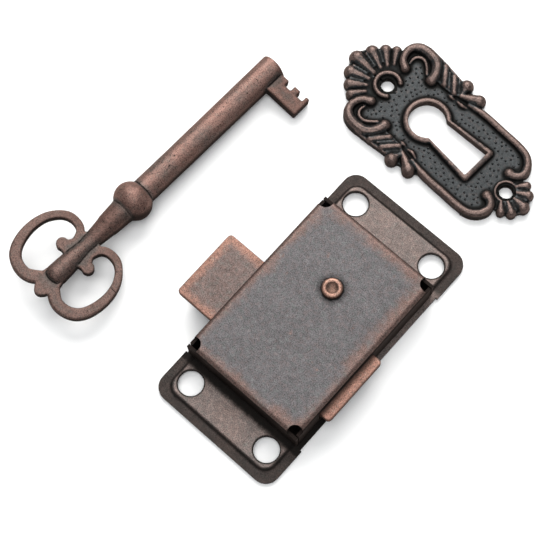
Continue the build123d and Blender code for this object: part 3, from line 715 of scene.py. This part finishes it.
def key():
    """One casting: its solid with a fuller neck and bow, and the soft edges of a cast piece."""
    turns = [Matrix.Rotation(math.radians(angle), 4, axis) for angle, axis in zip(KEY_TURN_DEG, "XYZ")]
    place = Matrix.Translation(KEY_AT) @ turns[2] @ turns[1] @ turns[0]
    cast = put("key_casting", bpy.data.objects["key"].data.copy())
    cast.data.transform(place.inverted() @ Matrix.Scale(1 / MM, 4))
    merge(cast)
    parts = [cast, lathe(KEY_BODY, (1, 0, 0), BODY_STEPS)]
    parts.append(slab(both_halves(KEY_WEB), -KEY_BOW_HALF, KEY_BOW_HALF))
    a, b, radius = KEY_CURL
    for side in (1, -1):
        parts.append(slab([(a, side * b) for a, b in KEY_JOIN], -KEY_BOW_HALF, KEY_BOW_HALF))
        loop = [((at[0], side * at[1]), width) for at, width in KEY_LOOP]
        parts.append(slab(band(loop, LOOP_STEPS), -KEY_BOW_HALF, KEY_BOW_HALF))
        parts.append(disc_tool(a, side * b, radius, -KEY_BOW_HALF, KEY_BOW_HALF))
    parts.append(shank())
    cast = join(parts, "key_casting")
    use_modifier(cast, "REMESH", mode="VOXEL", voxel_size=KEY_VOXEL)
    inner, outer, radius = KEY_BORE
    middle = ((inner + outer) / 2, 0, 0)
    bpy.ops.mesh.primitive_cylinder_add(vertices=DISC_STEPS, radius=radius, depth=outer - inner,
                                        location=middle, rotation=(0, math.pi / 2, 0))
    bpy.ops.object.transform_apply()
    cut(cast, bpy.context.object)
    use_modifier(cast, "SMOOTH", **CAST_SOFTEN)
    cut(cast, box_tool(*CRACK))
    note_relief(cast)
    cast.data.transform(Matrix.Scale(MM, 4) @ place)
    pick(cast)
    bpy.ops.object.shade_smooth()
    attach(cast, "key")
    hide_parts("key")


def box_tool(x0, x1, y0, y1, z0, z1):
    """An upright box between two places on each axis."""
    bpy.ops.mesh.primitive_cube_add(size=1, location=((x0 + x1) / 2, (y0 + y1) / 2, (z0 + z1) / 2))
    piece = bpy.context.object
    piece.scale = (x1 - x0, y1 - y0, z1 - z0)
    bpy.ops.object.transform_apply()
    return piece


def select_faces(piece, test):
    """In edit mode, select only the faces whose middle and normal pass a test."""
    bpy.ops.mesh.select_mode(type="FACE")
    bpy.ops.mesh.select_all(action="DESELECT")
    shape = bmesh.from_edit_mesh(piece.data)
    for face in shape.faces:
        if test(face.calc_center_median(), face.normal):
            face.select = True
    bmesh.update_edit_mesh(piece.data)


def select_edges(piece, test):
    """In edit mode, select only the edges whose two ends pass a test."""
    bpy.ops.mesh.select_mode(type="EDGE")
    bpy.ops.mesh.select_all(action="DESELECT")
    shape = bmesh.from_edit_mesh(piece.data)
    for edge in shape.edges:
        edge.select = test(edge.verts[0].co, edge.verts[1].co)
    bmesh.update_edit_mesh(piece.data)


def upright(a, b):
    """Whether an edge between two places stands upright."""
    return abs(a.z - b.z) > SAME_LEVEL and math.hypot(a.x - b.x, a.y - b.y) < SAME_PLACE


def press_steps():
    """The S-shaped step as pairs of width and rise, one for each ring of faces."""
    rise = PLATE_TOP - PLATE_SHEET
    heights = [rise * (1 - math.cos(math.pi * i / STEP_RINGS)) / 2 for i in range(STEP_RINGS + 1)]
    return [(STEP_WIDTH / STEP_RINGS, heights[i + 1] - heights[i]) for i in range(STEP_RINGS)]


def finish_sheet(piece, node, body):
    """Break the sheet's edges, bring it to metres, give it its body and hide the part that it stands
    for.
    """
    use_modifier(piece, "BEVEL", width=EDGE_BREAK, segments=BREAK_STEPS, limit_method="ANGLE",
                 angle_limit=math.radians(BREAK_ABOVE_DEG))
    piece.data.transform(Matrix.Scale(MM, 4))
    pick(piece)
    bpy.ops.object.shade_smooth_by_angle(angle=math.radians(SHEET_SMOOTH_DEG))
    use_modifier(piece, "WEIGHTED_NORMAL", **EVEN_SHADE)
    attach(piece, body)
    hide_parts(node)


def rounded_box(width, length, corner, bottom, top):
    """A box round the origin with rounded upright corners."""
    piece = box_tool(-width / 2, width / 2, -length / 2, length / 2, bottom, top)
    bpy.ops.object.mode_set(mode="EDIT")
    select_edges(piece, upright)
    bpy.ops.mesh.bevel(offset=corner, segments=CORNER_STEPS, affect="EDGES")
    bpy.ops.object.mode_set(mode="OBJECT")
    return piece


def plate():
    """The base plate: a sheet pressed up in the middle, trimmed to its outline and pierced."""
    corner = PRESS_CORNER + STEP_WIDTH + RIM_WIDTH + PLATE_SPARE
    width, length = PLATE_WIDTH + 2 * PLATE_SPARE, PLATE_LENGTH + 2 * PLATE_SPARE
    piece = rounded_box(width, length, corner, 0, PLATE_SHEET)
    piece.name = piece.data.name = "pressed_plate"
    bpy.ops.object.mode_set(mode="EDIT")
    select_faces(piece, lambda at, normal: normal.z > FACES_FLAT)
    bpy.ops.mesh.inset(thickness=PLATE_SPARE + RIM_WIDTH)
    for width, rise in press_steps():
        bpy.ops.mesh.inset(thickness=width, depth=rise)
    select_faces(piece, lambda at, normal: normal.z < -FACES_FLAT)
    bpy.ops.mesh.inset(thickness=PLATE_SPARE + RIM_WIDTH + PLATE_SHEET / 2)
    for width, rise in press_steps():
        bpy.ops.mesh.inset(thickness=width, depth=-rise)
    bpy.ops.object.mode_set(mode="OBJECT")
    blank = rounded_box(PLATE_WIDTH, PLATE_LENGTH, PLATE_CORNER, TOOL_FOOT, TOOL_TOP)
    use_modifier(piece, "BOOLEAN", operation="INTERSECT", object=blank, solver="MANIFOLD")
    bpy.data.objects.remove(blank)
    half = CASE_LENGTH / 2
    for side in (-1, 1):
        edge = sorted((side * WAIST_WIDTH / 2, side * PLATE_WIDTH))
        cut(piece, box_tool(*edge, -half, half, TOOL_FOOT, TOOL_TOP))
    lug_half = LUG_WIDTH / 2 + PLAY
    for x in (-1, 1):
        for y in (-1, 1):
            cut(piece, disc_tool(x * SCREW_AT[0], y * SCREW_AT[1], SCREW_RADIUS))
            lug = (x * LUG_AT - lug_half, x * LUG_AT + lug_half)
            wall = sorted((y * (half - CASE_SHEET - PLAY), y * (half + LUG_PLAY)))
            cut(piece, box_tool(*lug, *wall, TOOL_FOOT, TOOL_TOP))
    cut(piece, disc_tool(*POST_AT, KEYHOLE_WELL))
    width, reach = KEYHOLE_SLOT
    x, y = POST_AT
    cut(piece, box_tool(x - width / 2, x + width / 2, y, y + reach, TOOL_FOOT, TOOL_TOP))
    for at in STUDS_AT:
        cut(piece, disc_tool(*at, STUD_HOLE))
    finish_sheet(piece, "base_plate", "lock_case")


def cover():
    """The case: a folded sheet with open corners, slots for the bolt and lugs through the plate."""
    left_side, right_side = CASE_SIDES
    half_y = CASE_LENGTH / 2
    piece = box_tool(left_side, right_side, -half_y, half_y, CASE_FOOT, CASE_TOP)
    bpy.ops.object.mode_set(mode="EDIT")
    select_edges(piece, lambda a, b: min(a.z, b.z) > CASE_TOP - SAME_LEVEL)
    bpy.ops.mesh.bevel(offset=CASE_BEND, segments=BEND_STEPS, affect="EDGES")
    select_faces(piece, lambda at, normal: normal.z < -FACES_FLAT)
    bpy.ops.mesh.delete(type="FACE")
    bpy.ops.object.mode_set(mode="OBJECT")
    use_modifier(piece, "SOLIDIFY", thickness=CASE_SHEET, offset=-1, use_even_offset=True)
    above = CASE_TOP + SPARE
    for y in (-1, 1):
        wall = sorted((y * (half_y - CASE_SHEET - WALL_PLAY), y * (half_y + SPARE)))
        cut(piece, box_tool(left_side - SPARE, right_side + SPARE, *wall, 0, PLATE_TOP))
        for x, side in ((-1, left_side), (1, right_side)):
            at = (side - x * RELIEF_INSET, y * (half_y - RELIEF_INSET))
            cut(piece, disc_tool(*at, RELIEF_RADIUS, RELIEF_FLOOR, above))
            corner = (sorted((at[0], side + x * SPARE)), sorted((at[1], y * (half_y + SPARE))))
            cut(piece, box_tool(*corner[0], *corner[1], RELIEF_FLOOR, above))
            seam = sorted((y * (half_y - CASE_SHEET - CORNER_SEAM), y * (half_y - CASE_SHEET)))
            wall = sorted((side - x * (CASE_SHEET + PLAY), side + x * SPARE))
            cut(piece, box_tool(*wall, *seam, 0, SEAM_TOP))
    middle, half, bottom, top = BOLT_AT
    slot = (middle - half, middle + half, bottom, top)
    cut(piece, box_tool(left_side - SPARE, right_side + SPARE, *slot))
    cut(piece, disc_tool(*POST_AT, POST_RADIUS, CASE_TOP - CASE_SHEET - SPARE, above))
    lugs = [piece]
    for x in (-1, 1):
        for y in (-1, 1):
            left, right = x * LUG_AT - LUG_WIDTH / 2, x * LUG_AT + LUG_WIDTH / 2
            wall = sorted((y * (half_y - CASE_SHEET), y * half_y))
            foot = sorted((y * (half_y - CASE_SHEET), y * (half_y - LUG_FOOT)))
            lugs.append(box_tool(left, right, *wall, LUG_BOTTOM, PLATE_TOP + LUG_SINK))
            lugs.append(box_tool(left, right, *foot, LUG_BOTTOM, PLATE_TOP - PLATE_SHEET))
    piece = join(lugs, "folded_cover")
    finish_sheet(piece, "case_cover", "lock_case")


def post():
    """The key post: a turned pin whose dished head is spread over the cover."""
    piece = lathe(POST_PROFILE, (0, 0, 1), POST_STEPS)
    piece.name = piece.data.name = "turned_post"
    piece.data.transform(Matrix.Scale(MM, 4) @ Matrix.Translation((*POST_AT, 0)))
    pick(piece)
    bpy.ops.object.shade_smooth_by_angle(angle=math.radians(POST_SMOOTH_DEG))
    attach(piece, "lock_case")
    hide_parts("key_post")


def tapered_end(x0, x1, corner_x):
    """One end of the bolt: a bar with rounded outer corners whose sides draw in below its lip."""
    bottom, lip, top, draw = BOLT_END
    piece = box_tool(x0, x1, BOLT_MIDDLE - BOLT_HALF, BOLT_MIDDLE + BOLT_HALF, lip, top)
    bpy.ops.object.mode_set(mode="EDIT")
    select_edges(piece, lambda a, b: upright(a, b) and abs(a.x - corner_x) < BOLT_NEAR)
    bpy.ops.mesh.bevel(offset=BOLT_CORNER, segments=BOLT_CORNER_STEPS, affect="EDGES")
    select_faces(piece, lambda at, normal: normal.z < -FACES_FLAT)
    bpy.ops.mesh.extrude_region_move(TRANSFORM_OT_translate={"value": (0, 0, bottom - lip)})
    bpy.ops.object.mode_set(mode="OBJECT")
    for vertex in piece.data.vertices:
        if vertex.co.z < bottom + BOLT_NEAR:
            vertex.co.y += math.copysign(draw, BOLT_MIDDLE - vertex.co.y)
            if abs(vertex.co.x - corner_x) < BOLT_CORNER + BOLT_NEAR:
                vertex.co.x += math.copysign(draw, (x0 + x1) / 2 - corner_x)
    use_modifier(piece, "BEVEL", width=BOLT_EDGE, segments=BOLT_EDGE_STEPS, limit_method="ANGLE",
                 angle_limit=math.radians(BOLT_EDGE_DEG))
    return piece


def bolt():
    """The bolt: nose and tail with a rounded lip, and the bar between them inside the case."""
    nose = tapered_end(BOLT_NOSE_END, BOLT_NOSE_INNER, BOLT_NOSE_END)
    tail = tapered_end(BOLT_TAIL_INNER, BOLT_TAIL_END, BOLT_TAIL_END)
    piece = put("rubbed_bolt", bpy.data.objects["bolt"].data.copy())
    piece.data.transform(Matrix.Scale(1 / MM, 4))
    merge(piece)
    cut(piece, box_tool(BOLT_NOSE_END - SPARE, BOLT_NOSE_INNER - BOLT_LAP, *BOLT_ROOM))
    cut(piece, box_tool(BOLT_TAIL_INNER + BOLT_LAP, BOLT_TAIL_END + SPARE, *BOLT_ROOM))
    for end in (nose, tail):
        use_modifier(piece, "BOOLEAN", operation="UNION", object=end, solver="MANIFOLD")
        bpy.data.objects.remove(end)
    piece.data.transform(Matrix.Scale(MM, 4))
    pick(piece)
    bpy.ops.object.shade_smooth_by_angle(angle=math.radians(BOLT_SMOOTH_DEG))
    use_modifier(piece, "WEIGHTED_NORMAL", **EVEN_SHADE)
    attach(piece, "bolt")
    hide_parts("bolt")


def add(tree, kind, inputs, **settings):
    """Add a shader node; an input is a plain value or another node's output."""
    node = tree.nodes.new(kind)
    for name, value in settings.items():
        setattr(node, name, value)
    for name, value in inputs.items():
        if isinstance(value, bpy.types.NodeSocket):
            tree.links.new(value, node.inputs[name])
        else:
            node.inputs[name].default_value = value
    return node


def calc(tree, operation, *values):
    """Arithmetic on one or two values, or on more of them one after another."""
    while len(values) > 2:
        values = (calc(tree, operation, *values[:2]), *values[2:])
    return add(tree, "ShaderNodeMath", dict(enumerate(values)), operation=operation).outputs[0]


def ramp(tree, value, low, high, to_low=0.0, to_high=1.0):
    """A smooth rise from one value to another between two limits."""
    inputs = {"Value": value, "From Min": low, "From Max": high, "To Min": to_low, "To Max": to_high}
    return add(tree, "ShaderNodeMapRange", inputs, interpolation_type="SMOOTHSTEP").outputs[0]


def spread(tree, field, low, high):
    """A noise field brought to a range of its own."""
    return ramp(tree, field, *NOISE_SPAN, low, high)


def along(tree, direction, towards):
    """How far a direction points towards another, from -1 to 1."""
    inputs = {0: direction, 1: towards}
    return add(tree, "ShaderNodeVectorMath", inputs, operation="DOT_PRODUCT").outputs["Value"]


def distance(tree, parts, at):
    """How far a point lies from an upright axis, in millimetres."""
    off = [calc(tree, "SUBTRACT", part, middle) for part, middle in zip(parts, at)]
    squares = [calc(tree, "MULTIPLY", part, part) for part in off]
    return calc(tree, "SQRT", calc(tree, "ADD", *squares))


def facing(tree):
    """The direction that a point of the surface faces."""
    return add(tree, "ShaderNodeNewGeometry", {}).outputs["Normal"]


def noise(tree, at, scale, detail=2.0, rough=0.5, distort=0.0):
    """A noise field from 0 to 1 over places in millimetres."""
    inputs = {"Vector": at, "Scale": scale, "Detail": detail, "Roughness": rough, "Distortion": distort}
    return add(tree, "ShaderNodeTexNoise", inputs).outputs["Fac"]


def tint(tree, share, first, second, blend="MIX"):
    """Blend two colours, each a plain colour or a node's output."""
    node = tree.nodes.new("ShaderNodeMix")
    node.data_type = "RGBA"
    node.blend_type = blend
    sockets = [item for item in node.inputs if item.enabled]
    for socket, value in zip(sockets, (share, first, second)):
        if isinstance(value, bpy.types.NodeSocket):
            tree.links.new(value, socket)
        else:
            socket.default_value = value
    return next(item for item in node.outputs if item.enabled)


def paint(red, green, blue):
    """A colour given as the eye sees it, 0 to 255, for the shader's own scale."""
    return tuple((part / 255) ** 2.2 for part in (red, green, blue)) + (1,)


def box_edge(tree, parts, middle, half):
    """How far inside an upright box's outline a point lies, in millimetres."""
    insets = []
    for part, centre, reach in zip(parts, middle, half):
        off = calc(tree, "ABSOLUTE", calc(tree, "SUBTRACT", part, centre))
        insets.append(calc(tree, "SUBTRACT", reach, off))
    return calc(tree, "MINIMUM", *insets)


def tangle(tree, at):
    """Scribbled scratches: the folds of two noise fields, in patches."""
    line = 0.0
    for scale in TANGLE_SCALES:
        field = calc(tree, "MULTIPLY", noise(tree, at, scale, *TANGLE), TANGLE_TURNS)
        fold = ramp(tree, calc(tree, "PINGPONG", field, TANGLE_FOLD), *TANGLE_LINE)
        line = calc(tree, "MAXIMUM", line, fold)
    return calc(tree, "MULTIPLY", line, ramp(tree, noise(tree, at, *PATCHES), *PATCH_EDGE))


def aged_copper(name, grey, copper, worn, black, rough=0.46, patina=PATINA, scratch=0.55, pits=0.0):
    """Copper plate, blackened and rubbed back: grey patina, copper where it wore, black in the lows.

    worn and black are functions that build the shares of worn copper and of black, which is blackening
    and painted shade."""
    material = bpy.data.materials.new(name)
    material.use_nodes = True
    tree = material.node_tree
    surface = tree.nodes["Principled BSDF"]
    place = add(tree, "ShaderNodeTexCoord", {}).outputs["Object"]
    at = add(tree, "ShaderNodeVectorMath", {0: place, 1: PER_METRE}, operation="MULTIPLY").outputs[0]
    parts = add(tree, "ShaderNodeSeparateXYZ", {0: at}).outputs
    up = add(tree, "ShaderNodeSeparateXYZ", {0: facing(tree)}).outputs[2]
    cloud, mottle, grain, hue = [noise(tree, at, *field) for field in (CLOUD, MOTTLE, GRAIN, HUE)]
    scratches = calc(tree, "MULTIPLY", tangle(tree, at), scratch)
    shade = calc(tree, "ADD", spread(tree, grain, *GRAIN_SHADE), spread(tree, mottle, *MOTTLE_SHADE),
                 scratches, spread(tree, cloud, *CLOUD_SHADE))
    wear = calc(tree, "MULTIPLY", worn(tree, at, parts, cloud, mottle), ramp(tree, grain, *GRAIN_WEAR))
    base = tint(tree, wear, paint(*grey), paint(*copper))
    base = tint(tree, ramp(tree, hue, *HUE_COPPER), base, paint(*copper))
    base = tint(tree, ramp(tree, hue, *HUE_PATINA), base, paint(*patina))
    pit = ramp(tree, noise(tree, at, *PITS), *PIT_EDGE, 0.0, pits)
    dark = calc(tree, "MAXIMUM", black(tree, at, parts, up, mottle), pit)
    colour = tint(tree, dark, tint(tree, 1.0, base, shade, "MULTIPLY"), paint(*BLACK))
    tree.links.new(colour, surface.inputs["Base Color"])
    surface.inputs["Metallic"].default_value = METALLIC
    surface.inputs["Specular Tint"].default_value = EDGE_TINT
    roughness = calc(tree, "ADD", spread(tree, grain, rough - ROUGH_SPAN[0], rough + ROUGH_SPAN[1]),
                     calc(tree, "MULTIPLY", dark, BLACK_ROUGHER))
    tree.links.new(roughness, surface.inputs["Roughness"])
    height = calc(tree, "ADD", calc(tree, "MULTIPLY", grain, GRAIN_HEIGHT),
                  calc(tree, "MULTIPLY", mottle, MOTTLE_HEIGHT))
    bump = add(tree, "ShaderNodeBump", {"Strength": BUMP, "Distance": BUMP_DEPTH, "Height": height})
    tree.links.new(bump.outputs[0], surface.inputs["Normal"])
    return material


def dress(material, *names):
    """Give pieces a finish."""
    for name in names:
        piece = bpy.data.objects[name]
        if not piece.material_slots:
            piece.data.materials.append(material)
        for slot in piece.material_slots:
            slot.material = material


# Case: copper along the cover's edges and in a few spots
CASE_GREY = (83, 81, 82)
CASE_COPPER = (108, 85, 77)
CASE_CLOUD = 1.0
CASE_MOTTLE = 0.3
CASE_BAND = (0.7, 3.4, 0.7, 0.0)
SPOTS = (0.45, 3.0, 0.6)
SPOT_EDGE = (0.66, 0.74, 0.0, 0.45)
# Its blackening and painted shade, by height, place along the case, direction and distance from the post
# Walls below the top bend: blackening, with painted shade for walls that face away from the light,
# darkest at the foot
WALL_FOOT = (2.0, 6.0, 0.9, 0.25)
# Painted shade: the lower end wall is painted near black
LOWER_END_PAINTED_SHADE = (-CASE_LENGTH / 2 + 0.1, -CASE_LENGTH / 2 + 0.6, 0.92, 0.0)
WALL_FACING = (0.15, 0.8, 1.0, 0.0)
UNDER_BEND = (CASE_TOP - 0.75, CASE_TOP - 0.45, 0.9, 0.0)
POST_MOTTLE = 0.2
POST_FOOT = (2.4, 2.8, 0.85, 0.0)
POST_HAZE = (2.5, 3.9, 0.45, 0.0)


def case_wear(tree, at, parts, cloud, mottle):
    """Copper shows in a soft band along the cover's edges and in a few spots."""
    left, right = CASE_SIDES
    inset = box_edge(tree, parts, ((left + right) / 2, 0), ((right - left) / 2, CASE_LENGTH / 2))
    inset = calc(tree, "ADD", inset, spread(tree, cloud, -CASE_CLOUD, CASE_CLOUD),
                 spread(tree, mottle, -CASE_MOTTLE, CASE_MOTTLE))
    spots = ramp(tree, noise(tree, at, *SPOTS), *SPOT_EDGE)
    return calc(tree, "MAXIMUM", ramp(tree, inset, *CASE_BAND), spots)


def case_black(tree, at, parts, up, mottle):
    """Blackening with painted shade darkens the walls, most at their foot; painted shade blackens the
    lower end, and blackening rings the post.
    """
    # Painted shade, with blackening, on the walls; painted shade alone on the lower end wall
    low = calc(tree, "MAXIMUM", ramp(tree, parts[2], *WALL_FOOT), ramp(tree, parts[1], *LOWER_END_PAINTED_SHADE))
    wall = calc(tree, "MULTIPLY", ramp(tree, up, *WALL_FACING), low)
    uneven = spread(tree, mottle, -POST_MOTTLE, POST_MOTTLE)
    reach = calc(tree, "ADD", distance(tree, parts, POST_AT), uneven)
    return calc(tree, "MAXIMUM", wall, ramp(tree, parts[2], *UNDER_BEND), ramp(tree, reach, *POST_FOOT),
                ramp(tree, reach, *POST_HAZE))


def case_finish():
    """Dress the cover."""
    copper = aged_copper("blackened_and_shaded_case", CASE_GREY, CASE_COPPER, case_wear, case_black)
    dress(copper, "folded_cover", "case_cover")


# Base plate: worn in clouds
PLATE_GREY = (91, 86, 84)
PLATE_COPPER = (112, 95, 89)
PLATE_MOTTLE = 0.4
PLATE_WORN = (0.45, 0.95, 0.15, 0.6)
# Its blackening and painted shade, by place along the plate, height, direction and distance from a
# screw, and a painted shadow beside the cover's lower end
RIM_ENDS = (CASE_LENGTH / 2, CASE_LENGTH / 2 + 2, 0.2, 0.68)
RIM_HEIGHT = (PLATE_SHEET + 0.02, PLATE_SHEET + 0.3, 1.0, 0.0)
# Blackening with painted shade on the step's slopes and on whatever does not face up
SLOPE_FACING = (0.6, 0.98, 0.85, 0.0)
STEP_TOP = (PLATE_TOP - 0.3, PLATE_TOP - 0.02, 0.8, 0.0)
STEP_FOOT = (PLATE_SHEET, PLATE_SHEET + 0.15)
# Painted shade: a dark ring round each screw hole, standing in for its shaded wall
SCREW_EDGE_SHADE = (SCREW_RADIUS + 0.1, SCREW_RADIUS + 0.4, 0.9, 0.0)
# Painted shadow of the cover on the plate beside its lower end
FOOT_SHADOW_MOTTLE = 0.2
FOOT_SHADOW_STRIP = (-CASE_LENGTH / 2 - 2.6, -CASE_LENGTH / 2 - 1.2, 0.0, 0.93)
SHADED_LOWER_HALF = (0.0, 1.0, 1.0, 0.0)


def plate_wear(tree, at, parts, cloud, mottle):
    """Copper shows through in wide clouds."""
    field = calc(tree, "ADD", cloud, calc(tree, "MULTIPLY", mottle, PLATE_MOTTLE))
    return ramp(tree, field, *PLATE_WORN)


def plate_black(tree, at, parts, up, mottle):
    """The rim and the step are the blackest, their slopes partly by painted shade; the holes' edges are
    painted shade, and the plate beside the cover's lower foot gets a painted shadow.
    """
    beside = ramp(tree, calc(tree, "ABSOLUTE", parts[1]), *RIM_ENDS)
    rim = calc(tree, "MULTIPLY", ramp(tree, parts[2], *RIM_HEIGHT), beside)
    # The step is blackened, and painted shade darkens its slopes
    step = calc(tree, "MULTIPLY", ramp(tree, parts[2], *STEP_TOP), ramp(tree, parts[2], *STEP_FOOT))
    quarter = [calc(tree, "ABSOLUTE", parts[axis]) for axis in (0, 1)]
    # Painted shade round the screw holes
    hole = ramp(tree, distance(tree, quarter, SCREW_AT), *SCREW_EDGE_SHADE)
    # Painted shadow of the cover beside its lower end wall
    strip = calc(tree, "ADD", parts[1], spread(tree, mottle, -FOOT_SHADOW_MOTTLE, FOOT_SHADOW_MOTTLE))
    strip = calc(tree, "MULTIPLY", ramp(tree, strip, *FOOT_SHADOW_STRIP), ramp(tree, parts[1], *SHADED_LOWER_HALF))
    return calc(tree, "MAXIMUM", rim, ramp(tree, up, *SLOPE_FACING), step, hole, strip)


def plate_finish():
    """Dress the base plate."""
    copper = aged_copper("blackened_and_shaded_plate", PLATE_GREY, PLATE_COPPER, plate_wear, plate_black)
    dress(copper, "pressed_plate", "base_plate")


# Bolt: its outline is taken far past its tail, so that the band follows the nose's three edges
BOLT_GREY = (86, 79, 77)
BOLT_COPPER = (128, 97, 86)
BOLT_FAR = 20.0
BOLT_MOTTLE = 0.35
BOLT_BAND = (0.5, 2.6, 0.95, 0.12)
TAIL_WORN = (14.0, 15.0)
TAIL_BEGINS = (13.0, 14.0)
# Painted shadow of the cover's wall on the tail, darkest beside the cover
TAIL_SHADOW = (14.8, 16.2, 0.7, 0.05)
# Sides: blackening with painted shade
BOLT_SIDES = (-0.1, 0.6, 0.8, 0.0)


def bolt_wear(tree, at, parts, cloud, mottle):
    """The bolt's edges and its whole tail are rubbed to copper."""
    middle, half = (BOLT_NOSE_END + BOLT_FAR) / 2, (BOLT_FAR - BOLT_NOSE_END) / 2
    inset = box_edge(tree, parts, (middle, BOLT_MIDDLE), (half, BOLT_HALF))
    inset = calc(tree, "ADD", inset, spread(tree, mottle, -BOLT_MOTTLE, BOLT_MOTTLE))
    return calc(tree, "MAXIMUM", ramp(tree, inset, *BOLT_BAND), ramp(tree, parts[0], *TAIL_WORN))


def bolt_black(tree, at, parts, up, mottle):
    """Blackening with painted shade darkens the sides, and a painted shadow lies on the tail, most
    beside the cover.
    """
    # Painted shadow on the tail beside the cover
    tail = calc(tree, "MULTIPLY", ramp(tree, parts[0], *TAIL_BEGINS), ramp(tree, parts[0], *TAIL_SHADOW))
    return calc(tree, "MAXIMUM", ramp(tree, up, *BOLT_SIDES), tail)


def bolt_finish():
    """Dress the bolt, and what lies inside the case."""
    copper = aged_copper("rubbed_bolt", BOLT_GREY, BOLT_COPPER, bolt_wear, bolt_black)
    dress(copper, "rubbed_bolt", "bolt", "ward_plate", "guide_stud", "spring_post", "detent_spring")


# Post: bright, with a dark dimple
POST_GREY = (108, 94, 88)
POST_COPPER = (142, 110, 97)
POST_WORN = (0.2, 0.6, 0.85, 1.0)
DIMPLE_WALL = (0.7, 1.45, 0.6, 0.0)
DIMPLE_MIDDLE = (0.3, 0.8, 0.5, 0.6)
DIMPLE_END = (1.2, 1.5, 1.0, 0.0)
# Sides: blackening with painted shade
POST_SIDES = (0.2, 0.75, 0.8, 0.0)


def post_wear(tree, at, parts, cloud, mottle):
    """Copper shows nearly everywhere."""
    return ramp(tree, mottle, *POST_WORN)


def post_black(tree, at, parts, up, mottle):
    """The dimple in the post's head is dark, and the foot of its rim is dark from blackening with
    painted shade.
    """
    reach = distance(tree, parts, POST_AT)
    dimple = calc(tree, "MAXIMUM", ramp(tree, reach, *DIMPLE_WALL), ramp(tree, reach, *DIMPLE_MIDDLE))
    dimple = calc(tree, "MULTIPLY", dimple, ramp(tree, reach, *DIMPLE_END))
    return calc(tree, "MAXIMUM", dimple, ramp(tree, up, *POST_SIDES))


def post_finish():
    """Dress the key post."""
    copper = aged_copper("bright_post", POST_GREY, POST_COPPER, post_wear, post_black, rough=0.36)
    dress(copper, "turned_post", "key_post")


# Key: places along the set for the bow, the neck, the collar and the bit
KEY_GREY = (88, 85, 82)
KEY_COPPER = (122, 95, 87)
KEY_CLOUD = 0.05
KEY_PROUD = (-0.04, 0.1, 0.3, 0.95)
KEY_JOINTS = (-0.03, 0.0, 0.92, 0.0)
# Painted shade: sides that face away from the back light are darkened
KEY_PAINTED_SHADE = (-0.25, 0.32, 0.9, 0.0)
PAINTED_LIGHT_FROM = (-0.35, 0.3, 0.89)
BOW_WORN = (-19.0, -15.0, 0.7, 1.0)
BOW_BLACK = (-19.0, -15.0, 0.22, 0.0)
NECK_BLACK = (-20.0, -16.0, 0.0, 0.38)
COLLAR_BEGINS = (-9.6, -8.0, 1.0, 0.3)
COLLAR_ENDS = (-3.5, -2.0, 1.0, 0.0)
BIT_BLACK = (-42.7, -42.1, 0.0, 0.36)
BIT_BEGINS = (20.0, 24.0)


def attribute(tree, name):
    """One of the relief values that are stored in a casting."""
    return add(tree, "ShaderNodeAttribute", {}, attribute_name=name).outputs["Fac"]


def key_wear(tree, at, parts, cloud, mottle):
    """Copper shows on what stands proud, and less on the bow."""
    uneven = spread(tree, cloud, -KEY_CLOUD, KEY_CLOUD)
    proud = calc(tree, "ADD", attribute(tree, "relief_far"), uneven)
    return calc(tree, "MULTIPLY", ramp(tree, proud, *KEY_PROUD), ramp(tree, parts[1], *BOW_WORN))


def key_black(tree, at, parts, up, mottle):
    """Blackening fills the joints, and painted shade darkens the sides that face away from the back
    light.

    Black also lies thinly on the bow, the neck and the bit."""
    low = ramp(tree, attribute(tree, "relief_near"), *KEY_JOINTS)
    # Painted shade on the sides facing away from the back light
    side = ramp(tree, along(tree, facing(tree), PAINTED_LIGHT_FROM), *KEY_PAINTED_SHADE)
    places = (NECK_BLACK, COLLAR_BEGINS, COLLAR_ENDS)
    neck = calc(tree, "MULTIPLY", *[ramp(tree, parts[1], *place) for place in places])
    bit = calc(tree, "MULTIPLY", ramp(tree, parts[0], *BIT_BLACK), ramp(tree, parts[1], *BIT_BEGINS))
    return calc(tree, "MAXIMUM", low, side, ramp(tree, parts[1], *BOW_BLACK), neck, bit)


def key_finish():
    """Dress the key."""
    copper = aged_copper("cast_key", KEY_GREY, KEY_COPPER, key_wear, key_black, rough=0.48,
                         scratch=0.3, pits=0.8)
    dress(copper, "key_casting", "key")


# Escutcheon: nearly black ground and copper on what stands out
CAST_GREY = (54, 56, 57)
CAST_COPPER = (100, 85, 80)
CAST_PATINA = (56, 59, 58)
CAST_MOTTLE = 0.03
CAST_PROUD = (0.03, 0.16, 0.0, 0.95)
CAST_GROOVES = (-0.035, 0.0, 0.95, 0.0)
CAST_HOLLOWS = (-0.16, -0.02, 0.9, 0.0)
# Sides: blackening with painted shade
CAST_SIDES = (0.05, 0.7, 0.75, 0.0)


def cast_wear(tree, at, parts, cloud, mottle):
    """Copper shows on what stands proud."""
    uneven = spread(tree, mottle, -CAST_MOTTLE, CAST_MOTTLE)
    proud = calc(tree, "ADD", attribute(tree, "relief_far"), uneven)
    return ramp(tree, proud, *CAST_PROUD)


def cast_black(tree, at, parts, up, mottle):
    """Blackening is thickest in the grooves, and blackening with painted shade darkens the sides."""
    low = ramp(tree, attribute(tree, "relief_near"), *CAST_GROOVES)
    deep = ramp(tree, attribute(tree, "relief_far"), *CAST_HOLLOWS)
    return calc(tree, "MAXIMUM", low, deep, ramp(tree, up, *CAST_SIDES))


def cast_finish():
    """Dress the escutcheon."""
    copper = aged_copper("cast_escutcheon", CAST_GREY, CAST_COPPER, cast_wear, cast_black, rough=0.4,
                         patina=CAST_PATINA, scratch=0.3, pits=0.5)
    dress(copper, "escutcheon_casting", "escutcheon")


camera()
studio()
escutcheon()
key()
plate()
cover()
post()
bolt()
case_finish()
plate_finish()
bolt_finish()
post_finish()
key_finish()
cast_finish()
